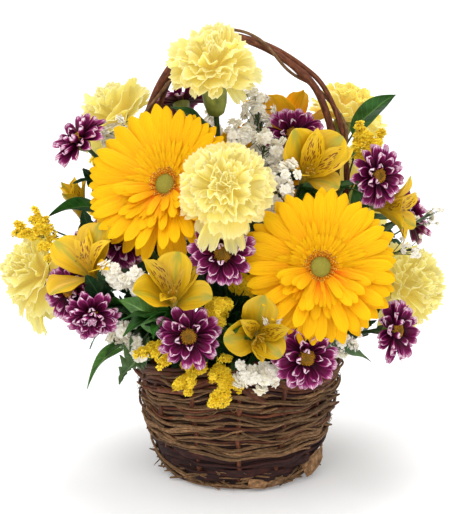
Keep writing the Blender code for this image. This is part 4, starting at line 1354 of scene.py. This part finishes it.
# tips of side branches that carry florets too
SIDE_TIPS = {
    "gypsophila_top": [(-0.086, 0.000, 0.242), (0.022, -0.020, 0.226), (0.022, -0.044, 0.200)],
    "gypsophila_left": [(-0.082, -0.058, 0.112), (-0.066, -0.066, 0.106)],
    "gypsophila_front": [(0.030, -0.082, 0.122), (0.070, -0.070, 0.112)],
    "solidago_front": [(-0.019, -0.088, 0.137), (0.004, -0.056, 0.146)],
}
# how far the flowers stand off the tips of their solids, in millimetres
SPRAY_SHIFTS = {"solidago_left": (0.0, 0.0, -9.0), "solidago_upper_right": (-5.0, 0.0, -7.0),
                "gypsophila_right": (12.0, 12.0, 10.0)}
# how many flowers at each tip, their size and how far they reach
GYPSOPHILA_BUNCHES = {"gypsophila_right": (11, 0.62, 1.3), "gypsophila_top": (22, 1.12, 1.3)}


def loose_direction(draw, axis, spread):
    """A direction that strays from an axis."""
    stray = Vector((draw.gauss(0, 1), draw.gauss(0, 1), draw.gauss(0, 1)))
    return (axis + stray * spread).normalized()


def spray_stem(copies, node, tip_area):
    """A spray's stem up to its fork: the tips with their directions, the fork and the line."""
    tips, fork = spray_ends(node, tip_area)
    for place in SIDE_TIPS.get(node, ()):
        tip = Vector(place)
        tips.append((tip, (tip - BUNCH_MIDDLE).normalized()))
    shift = Vector(SPRAY_SHIFTS.get(node, (0.0, 0.0, 0.0))) * MM
    for i, (tip, direction) in enumerate(tips):
        # on the right, only the tips in front of the carnation move clear of it
        if node != "gypsophila_right" or (tip.z > 0.14 and tip.x < 0.12):
            tips[i] = (tip + shift, direction)
    facing = sum((direction for tip, direction in tips), Vector()).normalized()
    line = stem_line(stem_foot(node), fork, facing)
    tube(copies, "stem", line, SPRAY_STEM, 6, 0.3)
    return tips, fork, line


def add_branch(copies, fork, tip, arch):
    """A branch from the fork to a tip, arched by some millimetres; gives its line."""
    branch = [fork.lerp(tip, t) + UP * arch * MM * math.sin(math.pi * t)
              for t in (0.0, 0.25, 0.5, 0.75, 1.0)]
    tube(copies, "stem", branch, np.linspace(0.9, 0.5, 5) * MM, 6, 0.35)
    return branch


def make_gypsophila(node):
    """A spray whose branches end in clusters of tiny white flowers and buds."""
    draw = random.Random(node)
    number, size, reach = GYPSOPHILA_BUNCHES.get(node, (18, 1.22, 1.0))
    copies = []
    tips, fork = spray_stem(copies, node, GYPSOPHILA_TIP)[:2]
    for tip, direction in tips:
        branch = add_branch(copies, fork, tip, 2.0)
        for _ in range(number):
            root = branch[3].lerp(tip, draw.uniform(-0.4, 0.8))
            away = loose_direction(draw, direction, 0.75)
            end = (tip + away * reach * draw.uniform(3.0, 11.0) * MM
                   - direction * draw.uniform(0, 9) * MM)
            bow = bezier(root, root.lerp(end, 0.4) + direction * MM, end - away * 2.0 * MM, end, 5)
            tube(copies, "stem", bow, 0.3 * MM, 3, 0.4)
            turn = facing_matrix(end, loose_direction(draw, away, 0.35))
            if draw.random() < 0.12:
                copies.append((WHITE_BUD, turn, "gypsophila", draw.uniform(0.3, 0.8)))
            else:
                scale = Matrix.Scale(size * draw.uniform(0.70, 1.12), 4)
                copies.append((draw.choice(WHITE_FLORETS), turn @ scale, "gypsophila",
                               draw.uniform(0.1, 0.85)))
    joined(node, "_spray", copies, 80.0)


def make_solidago(node):
    """A spray whose branches carry short arched plumes of golden flowers."""
    draw = random.Random(node)
    copies = []
    tips, fork, line = spray_stem(copies, node, SOLIDAGO_TIP)
    plumes = 9 if node == "solidago_left" else 15
    for tip, direction in tips:
        add_branch(copies, fork, tip, 0.0)
        for _ in range(plumes):
            root = tip - direction * draw.uniform(4.0, 26.0) * MM
            away = loose_direction(draw, direction, 0.55)
            length = draw.uniform(7.0, 13.0) * MM
            end = root + away * length - UP * draw.uniform(0.0, 4.0) * MM
            bow = bezier(root, root + away * 0.4 * length, end + UP * 1.5 * MM, end, 8)
            tube(copies, "stem", bow, 0.35 * MM, 4, 0.45)
            for _ in range(28):
                place = draw.uniform(0.15, 1.0) * 7.0
                step = min(int(place), 6)
                spot = bow[step].lerp(bow[step + 1], place - step)
                out = loose_direction(draw, UP * 0.6 + away * 0.5, 0.8)
                spot = spot + out * draw.uniform(0.5, 2.6) * MM
                size = Matrix.Scale(draw.uniform(0.8, 1.3), 4)
                copies.append((draw.choice(GOLD_FLORETS), facing_matrix(spot, out) @ size,
                               "solidago", draw.uniform(0.1, 1.0)))
    leaves_along(copies, draw, line, "leaf_lance", 6, 0.4, 0.95, 0.026)
    joined(node, "_spray", copies, 80.0)


# ---- Basket ----
def wall_point(angle, height, inset):
    """A place in the wall: its turn, its height at the sides, and how far in it lies."""
    radius = np.interp(height, [h for h, r in WALL], [r for h, r in WALL]) - inset
    reach = np.clip((height - BAND_TOP) / (RIM_TOP - BAND_TOP), 0.0, 1.0)
    lift = RIM_LIFT * np.sin(angle) ** 2 * reach * reach
    return np.stack([radius * np.cos(angle), radius * np.sin(angle), height + lift], -1)


def sag(angle, height):
    """How far the wall's strands rise and fall together at a turn and a height."""
    wave = (1.5 * np.sin(2.0 * angle + 55.0 * height + 0.7)
            + 1.2 * np.sin(5.0 * angle - 80.0 * height + 2.1)
            + 0.8 * np.sin(11.0 * angle + 130.0 * height))
    return wave * MM * np.clip((height - 4.0 * MM) / (24.0 * MM), 0.0, 1.0)


def pick(draw, value):
    """The value itself, or a draw from it where it is a range."""
    return draw.uniform(*value) if isinstance(value, tuple) else value


def lay(copies, draw, material, sides, start, sweep, heights, radius, swing=0.0, side=1.0,
        wobble=0.9, bulge=0.0, tuck=0.0, rough=0.16, tone=0.0, tall=None, woody=0.0, step=3.3):
    """Lay a strand round the wall, in and out round the stakes.

    Lengths are in millimetres. Swing is how far it goes in and out and side which way first,
    bulge how far it stands out of the wall, tuck how deep its two ends turn in, tone how much
    lighter it is, tall how high a flat strip stands, and woody the chance of a twig instead.
    """
    radius, wobble = radius * MM, wobble * MM
    share = np.linspace(0.0, 1.0, max(8, int(abs(sweep) * WEAVE_RADIUS / (step * MM))))
    angle = start + sweep * share
    height = (heights[0] + (heights[1] - heights[0]) * share) * MM + wavering(draw, wobble)(angle)
    height = height + sag(angle, height)
    weave = side * np.cos(0.5 * STAKES * (angle - STAKE_START))
    in_out = wavering(draw, 0.35 * wobble, ((3.1, 0.5), (7.3, 0.3), (13.7, 0.2)))
    ends = tuck * np.maximum(0.0, np.abs(2.0 * share - 1.0) - 0.72) / 0.28
    inset = radius + (swing * (1.0 - weave) - bulge + ends) * MM + in_out(angle)
    points = wall_point(angle, height, inset)
    points[:, 2] = np.maximum(points[:, 2], radius)
    thick = wavering(draw, rough, ((1.7, 0.5), (6.1, 0.3), (15.0, 0.2)))
    tint = wavering(draw, 0.4, ((0.9, 0.6), (3.3, 0.4)))
    if woody and draw.random() < woody:
        material = "twig"
    shade = np.clip(np.clip(0.5 + tint(angle), 0.0, 1.0) + pick(draw, tone), 0.0, 1.0)
    strip = {"upright": (0, 0, 1), "tall": pick(draw, tall)} if tall else {}
    tube(copies, material, points, radius * (1.0 + thick(angle)), sides,
         np.repeat(shade, sides), **strip)


def add_fibres(copies, draw, number, low, high):
    """Hair-thin bark fibres that stand off the wall, some of them curled into loops."""
    count = 12
    for _ in range(number):
        start = draw.uniform(0.0, FULL_TURN)
        height = draw.uniform(low, high) * MM
        turn = np.linspace(0.0, draw.choice((1.2, 2.5, 3.6, 5.0, 7.5)), count)
        drift = sway(draw, 0.14) * np.linspace(0.0, 1.0, count)
        loop = draw.uniform(0.8, 2.6) * MM * np.linspace(1.0, draw.uniform(0.4, 1.4), count)
        angle = start + drift + loop * np.sin(turn) / WEAVE_RADIUS
        up = height + draw.uniform(0.4, 1.0) * loop * (1.0 - np.cos(turn)) * draw.choice((-1.0, 1.0))
        stand = -draw.uniform(0.8, 2.2) * MM * np.sin(np.linspace(0.2, 2.9, count))
        points = wall_point(angle, np.maximum(up, 1.0 * MM), stand)
        tube(copies, "vine", points, draw.uniform(0.14, 0.28) * MM, 4, draw.uniform(0.5, 1.0))


def add_stub(copies, draw, material, angle, height, length, radius, lean, rise):
    """The broken end of a twig that leaves the wall at a slant, its lengths in millimetres."""
    length, radius = length * MM, radius * MM
    root = Vector(wall_point(np.array(angle), np.array(height * MM), radius))
    outward = Vector((math.cos(angle), math.sin(angle), 0.0))
    around = outward.cross(UP) * (1.0 if lean < 0.0 else -1.0)
    aim = (around * math.cos(math.radians(lean)) + outward * abs(math.sin(math.radians(lean)))
           + UP * rise).normalized()
    points = [root + aim * share * length for share in (-0.6, 0.0, 0.6, 1.0)]
    for point in points:
        point.z = max(point.z, 1.05 * radius)
    radii = np.array((1.0, 1.0, 0.85, draw.uniform(0.3, 0.7))) * radius
    tube(copies, material, points, radii, 7, draw.uniform(0.3, 0.9))


def add_stubs(copies, draw, material, number, heights, lengths, radii, leans, rises):
    """Broken ends of twigs anywhere round the wall; the rest are ranges."""
    for _ in range(number):
        add_stub(copies, draw, material, anywhere(draw), draw.uniform(*heights),
                 draw.uniform(*lengths), draw.uniform(*radii),
                 draw.choice((-1, 1)) * draw.uniform(*leans), draw.uniform(*rises))


def make_weave():
    """Rows of paired vines between the stakes, with loose vines and fibres over them."""
    draw = random.Random("weave")
    copies = []
    low, high = BAND_TOP / MM + 2.5, WEAVE_TOP / MM + 2.5
    rows = 11
    for row in range(rows):
        middle = low + (high - low) * (row + 0.5) / rows
        for pair in (-1.05, 1.05):
            height = middle + pair + sway(draw, 0.4)
            slope = sway(draw, 1.4)
            lay(copies, draw, "vine", 6, anywhere(draw), FULL_TURN * draw.uniform(1.0, 1.08),
                (height - slope, height + slope), VINE_RADIUS / MM * draw.uniform(0.7, 1.2),
                swing=1.6, side=1.0 if row % 2 else -1.0, wobble=1.0,
                bulge=draw.uniform(-0.3, 0.9), tone=(-0.4, 0.4), woody=0.12 + 0.45 * row / rows)

    def painted_shadow_strand(row, swing, side, bulge):
        """A dark strand on the inner face, seen between the rows: painted shadow in the gaps of the
        weave.
        """
        height = low + (high - low) * row / 16
        lay(copies, draw, "strip", 5, anywhere(draw), FULL_TURN * 1.03, (height, height), 1.5,
            swing=swing, side=side, bulge=bulge, tone=0.1, step=5.0)

    for row in range(16):
        painted_shadow_strand(row + 0.5, 0.6, 1.0 if row % 2 else -1.0, -2.4)
    for _ in range(40):
        height = draw.uniform(32.0, 78.0)
        slope = sway(draw, 10.0)
        lay(copies, draw, "vine", 6, anywhere(draw), draw.uniform(0.5, 1.9),
            (height, height + slope), draw.uniform(0.5, 1.2), swing=0.7, wobble=1.4,
            bulge=draw.uniform(1.2, 2.6), tuck=4.5, tone=(-0.2, 0.4))
    for _ in range(10):
        # strands that sag over the top of the band
        height = draw.uniform(28.0, 32.0)
        lay(copies, draw, "vine", 6, anywhere(draw), draw.uniform(0.8, 2.4),
            (height, height + sway(draw, 2.0)), draw.uniform(0.7, 1.1), swing=0.8, wobble=1.8,
            bulge=draw.uniform(0.8, 1.8), tuck=4.0, tone=(0.0, 0.4))
    add_fibres(copies, draw, 150, 30.0, 78.0)
    add_stubs(copies, draw, "vine", 16, heights=(30.0, 76.0), lengths=(5.0, 10.0),
              radii=(0.8, 1.3), leans=(14.0, 34.0), rises=(-0.4, 0.5))
    for row in range(15):
        painted_shadow_strand(row + 1, 0.5, 1.0, -3.2)
    joined("basket_weave", "_vines", copies, 60.0)


def make_rim():
    """Thicker dark twigs wound round the mouth, some ending in the open."""
    draw = random.Random("rim")
    copies = []
    for j in range(6):
        height = WEAVE_TOP / MM + 1.7 * j - 4.4
        lay(copies, draw, "twig", 8, anywhere(draw), FULL_TURN * draw.uniform(1.0, 1.25),
            (height - 0.8, height + 0.8), draw.uniform(1.35, 2.1), swing=1.0,
            side=1.0 if j % 2 else -1.0, wobble=1.2, bulge=draw.uniform(0.0, 0.9), tuck=2.0,
            tone=(-0.3, 0.1))
    for start, sweep, heights, radius in (
            (-2.55, 0.95, (68.0, 74.5), 1.9), (-1.62, 0.34, (72.0, 61.0), 2.3),
            (-1.15, 0.9, (71.0, 77.0), 1.7), (-0.4, 1.4, (76.0, 70.0), 1.7),
            (1.3, 1.2, (70.0, 77.0), 2.0)):
        lay(copies, draw, "twig", 8, start, sweep, heights, radius, swing=0.5, wobble=0.8,
            bulge=1.6, tuck=4.0, tone=(-0.1, 0.3))
    add_stub(copies, draw, "twig", math.pi + 0.25, 71.0, 11.0, radius=1.5, lean=-30.0, rise=0.5)
    add_stub(copies, draw, "twig", -0.22, 49.0, 9.0, radius=1.4, lean=32.0, rise=0.1)
    add_stubs(copies, draw, "twig", 9, heights=(66.0, 80.0), lengths=(6.0, 12.0),
              radii=(1.0, 1.6), leans=(14.0, 34.0), rises=(-0.3, 0.5))
    joined("basket_rim", "_twigs", copies, 60.0)


def make_band():
    """Broad dark bark strips round the foot, the stakes, and a frayed lower edge."""
    draw = random.Random("band")
    copies = []
    for j, height in enumerate((4.8, 10.6, 16.4, 22.2, 28.0)):
        lay(copies, draw, "strip", 8, STAKE_START + 1.9 * j, FULL_TURN * 1.03,
            (height - 0.5, height + 0.6), 1.0, swing=1.9, side=1.0 if j % 2 else -1.0, bulge=0.4,
            tuck=1.5, rough=0.22, tone=(-0.2, 0.1), tall=3.1)
    for _ in range(12):
        height = draw.uniform(6.0, 27.0)
        lay(copies, draw, "strip", 8, anywhere(draw), draw.uniform(0.7, 1.8),
            (height, height + sway(draw, 4.0)), 0.7, swing=1.2, wobble=1.0,
            bulge=draw.uniform(0.8, 1.8), tuck=4.0, rough=0.3, tone=(-0.1, 0.5), tall=(1.0, 2.6))
    for start, sweep, heights, radius in (
            (-3.1, 0.95, (27.0, 4.0), 1.0), (-2.95, 1.0, (21.0, 2.5), 0.8),
            (-3.05, 0.7, (16.0, 3.0), 0.9), (-0.15, -0.9, (22.0, 3.0), 0.9),
            (0.6, 1.1, (25.0, 5.0), 1.0), (2.0, 0.9, (4.0, 20.0), 0.9)):
        # loose vines that run down over the band
        lay(copies, draw, "vine", 6, start, sweep, heights, radius, swing=0.4, wobble=1.2,
            bulge=2.2, tuck=3.0, tone=(-0.1, 0.4))
    for i in range(STAKES):
        angle = STAKE_START + FULL_TURN * i / STAKES
        heights = np.linspace(draw.uniform(3.0, 7.0) * MM, RIM_TOP - 1.0 * MM, 30)
        waver = wavering(draw, 0.02)
        points = wall_point(angle + waver(heights * 60.0), heights,
                            STAKE_RADIUS + 1.5 * MM + 0.4 * MM * np.cos(heights * 700.0 + i))
        radii = STAKE_RADIUS * (1.0 + 0.14 * np.cos(heights * 420.0 + 2.0 * i))
        tube(copies, "twig", points, radii, 8, draw.uniform(0.25, 0.6))
    for _ in range(16):
        height = draw.uniform(0.8, 4.2)
        lay(copies, draw, "vine", 6, anywhere(draw), draw.uniform(1.2, 5.5),
            (height, height + sway(draw, 0.8)), draw.uniform(0.6, 1.3), swing=0.3, wobble=2.2,
            bulge=draw.uniform(0.2, 1.8), tuck=3.0, rough=0.4, tone=(-0.4, 0.3))
    add_fibres(copies, draw, 40, 1.0, 22.0)
    # splinters of the frayed foot
    add_stubs(copies, draw, "vine", 80, heights=(2.5, 12.0), lengths=(6.0, 12.0),
              radii=(0.45, 1.2), leans=(10.0, 46.0), rises=(-0.3, 0.3))
    for start, sweep, heights, tall in (
            (-0.66, 0.34, (9.0, 19.0), 10.0), (-1.45, 0.24, (8.0, 5.0), 6.0),
            (-1.2, 0.2, (5.0, 8.0), 5.0), (2.2, 0.3, (7.0, 13.0), 8.0)):
        # pale flakes where the bark has split
        lay(copies, draw, "vine", 8, start, sweep, heights, 0.5, wobble=0.5, bulge=3.4,
            tuck=1.2, rough=0.4, tone=0.5, tall=tall)
    joined("basket_lower_band", "_strips", copies, 60.0)


def make_base():
    """The woven foot: seven spokes and one vine coiled over and under them."""
    draw = random.Random("base")
    copies = []
    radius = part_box("basket_base")[1].x
    for i in range(7):
        angle = math.pi * i / 7.0
        line = [Vector((math.cos(angle) * x, math.sin(angle) * x, 0.0022))
                for x in np.linspace(-radius, radius, 14)]
        tube(copies, "twig", line, 1.3 * MM, 7, draw.uniform(0.3, 0.7))
    turns = 15
    angle = np.linspace(0.0, FULL_TURN * turns, turns * 42)
    reach = np.linspace(5.0 * MM, radius - 1.5 * MM, len(angle))
    height = 0.0026 + 0.9 * MM * np.cos(7.0 * angle)
    line = np.stack([reach * np.cos(angle), reach * np.sin(angle), height], 1)
    tube(copies, "vine", line, 1.25 * MM, 6, np.repeat(0.4 + 0.2 * np.sin(3.0 * angle), 6))
    joined("basket_base", "_weave", copies, 60.0)


# ---- Handle ----
def wall_inner_radius(height):
    share = (height - BAND_TOP) / (WEAVE_TOP - BAND_TOP)
    return BAND_RADIUS - 0.0065 + share * (WEAVE_RADIUS - BAND_RADIUS)


def handle_centre_line(count):
    """The middle of the handle in its XZ plane, from the right foot to the left foot."""
    tuck = THICK_TWIG + TWIG_GAP
    foot = (wall_inner_radius(LEG_FOOT_HEIGHT) - tuck, LEG_FOOT_HEIGHT)
    mouth = (wall_inner_radius(WEAVE_TOP) - tuck, RIM_TOP)
    knots = [foot, mouth] + HANDLE_KNOTS + [(-mouth[0], mouth[1]), (-foot[0], foot[1])]
    return even_points(smooth_points([Vector((x, 0.0, z)) for x, z in knots]), count)


def twig_spread(height):
    climb = clamped((height - SPREAD_FROM) / (SPREAD_TO - SPREAD_FROM))
    return SPREAD * math.sin(math.pi * climb) ** 2


def twist(share, free_share):
    """How far the winding has gone at a share of the path, where its two ends stay free."""
    return FULL_TURN * clamped((share - free_share) / (1.0 - 2.0 * free_share))


def wound_round(points, reach, phase, turns, free_share=0.0):
    """Offset a path in the XZ plane so that it winds round itself, apart from its ends.

    Reach gives the offset from the angle of the turn, the share of the path and the height.
    """
    wound = []
    last = len(points) - 1
    for i, point in enumerate(points):
        ahead = (points[min(i + 1, last)] - points[max(i - 1, 0)]).normalized()
        sideways = ahead.cross(Vector((0.0, 1.0, 0.0)))
        angle = phase + turns * twist(i / last, free_share)
        offset = math.cos(angle) * Vector((0.0, 1.0, 0.0)) + math.sin(angle) * sideways
        wound.append(point + reach(angle, i / last, point.z) * offset)
    return wound


def knotty(draw, radius, count, knots):
    """The radius along a twig: uneven, and swollen where a side shoot once grew."""
    along = np.linspace(0.0, 1.0, count)
    size = 1.0 + wavering(draw, 0.10, ((9.0, 0.5), (31.0, 0.3), (70.0, 0.2)))(along)
    for _ in range(knots):
        size += draw.uniform(0.15, 0.35) * np.exp(-((along - draw.random()) / 0.008) ** 2)
    return radius * size


def make_handle():
    """Two twigs laid once round each other, and a vine wound over both."""
    path = handle_centre_line(260)
    free = 0.14                        # this share of the path stays unwound at each leg
    for name, radius, offset, phase, ends in (
            ("handle_twig_1", THICK_TWIG, THIN_TWIG + TWIG_GAP, 0.0, (0.78, 1.05)),
            ("handle_twig_2", THIN_TWIG, THICK_TWIG + TWIG_GAP, math.pi, (0.95, 0.90))):
        draw = random.Random(name)
        points = wound_round(path, lambda angle, share, height: offset + 0.5 * twig_spread(height),
                             phase, 1.0, free)
        radii = knotty(draw, 0.97 * radius, len(points), 12) * np.linspace(*ends, len(points))
        tint = wavering(draw, 0.5, ((5.0, 0.6), (17.0, 0.4)))(np.linspace(0.0, 3.0, len(points)))
        copies = []
        tube(copies, "twig", points, radii, 12, np.repeat(np.clip(0.6 + 0.3 * tint, 0.0, 1.0), 12))
        joined(name, "_bark", copies, 60.0)

    def hug(angle, share, height):
        """The vine lies on whichever twig reaches farther at this angle."""
        turn = twist(share, free)
        apart = TWIG_GAP + 0.5 * twig_spread(height)
        thick = THICK_TWIG + (THIN_TWIG + apart) * math.cos(angle - turn)
        thin = THIN_TWIG + (THICK_TWIG + apart) * math.cos(angle - turn - math.pi)
        return HANDLE_VINE + max(thick, thin, 0.6 * THICK_TWIG)

    draw = random.Random("handle_vine")
    above = [p for p in handle_centre_line(420) if p.z > RIM_TOP + 0.018]
    points = even_points(wound_round(above, hug, 0.5 * math.pi, 5), 420)
    copies = []
    tube(copies, "vine", points, knotty(draw, HANDLE_VINE, len(points), 12), 8, 0.6)
    joined("handle_vine", "_bark", copies, 60.0)


# ---- Stage ----
def make_stage():
    clear_selection()
    bpy.ops.mesh.primitive_circle_add(vertices=64, radius=14.0, fill_type="NGON")
    floor = bpy.context.active_object
    floor.name = "floor"
    floor.data.materials.append(MATERIALS["floor"].material)

    world = bpy.data.worlds.new("studio")
    world.use_nodes = True
    background = world.node_tree.nodes["Background"]
    background.inputs["Color"].default_value = (1.0, 1.0, 1.0, 1.0)
    background.inputs["Strength"].default_value = 0.47
    bpy.context.scene.world = world

    for name, power, spread, tilt, turn in (("key", 1.3, 56.0, 38.0, -38.0),
                                            ("front", 0.7, 60.0, 62.0, 6.0),
                                            ("fill", 0.4, 80.0, 46.0, 60.0),
                                            ("top", 1.6, 40.0, -18.0, 0.0)):
        light = bpy.data.lights.new(name, "SUN")
        light.energy = power
        light.angle = math.radians(spread)
        lamp = bpy.data.objects.new(name, light)
        lamp.rotation_euler = (math.radians(tilt), 0.0, math.radians(turn))
        bpy.context.scene.collection.objects.link(lamp)

    target = Vector((-0.009, 0.0, 0.154))
    rise = math.radians(14.5)
    camera_data = bpy.data.cameras.new("camera")
    camera_data.lens = 130.0
    camera_data.sensor_width = 36.0
    camera_data.clip_end = 60.0
    camera = bpy.data.objects.new("camera", camera_data)
    camera.location = target + 1.3 * Vector((0.0, -math.cos(rise), math.sin(rise)))
    camera.rotation_euler = (math.radians(90.0) - rise, 0.0, 0.0)
    bpy.context.scene.collection.objects.link(camera)
    bpy.context.scene.camera = camera
    bpy.context.scene.view_settings.view_transform = "Standard"


MAKERS = {"gerbera": make_gerbera, "carnation": make_carnation, "mum": make_mum,
          "alstroemeria": make_alstroemeria, "gypsophila": make_gypsophila,
          "solidago": make_solidago}


def main():
    for node in sorted(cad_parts):
        kind = node.split("_")[0]
        if kind in MAKERS:
            MAKERS[kind](node)
    for node, leaf in LEAVES.items():
        named_leaf(node, leaf)
    make_base()
    make_band()
    make_weave()
    make_rim()
    make_handle()
    for node in ("foam", "liner"):
        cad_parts[node].data.materials.clear()
        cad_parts[node].data.materials.append(MATERIALS[node].material)
    make_stage()


main()
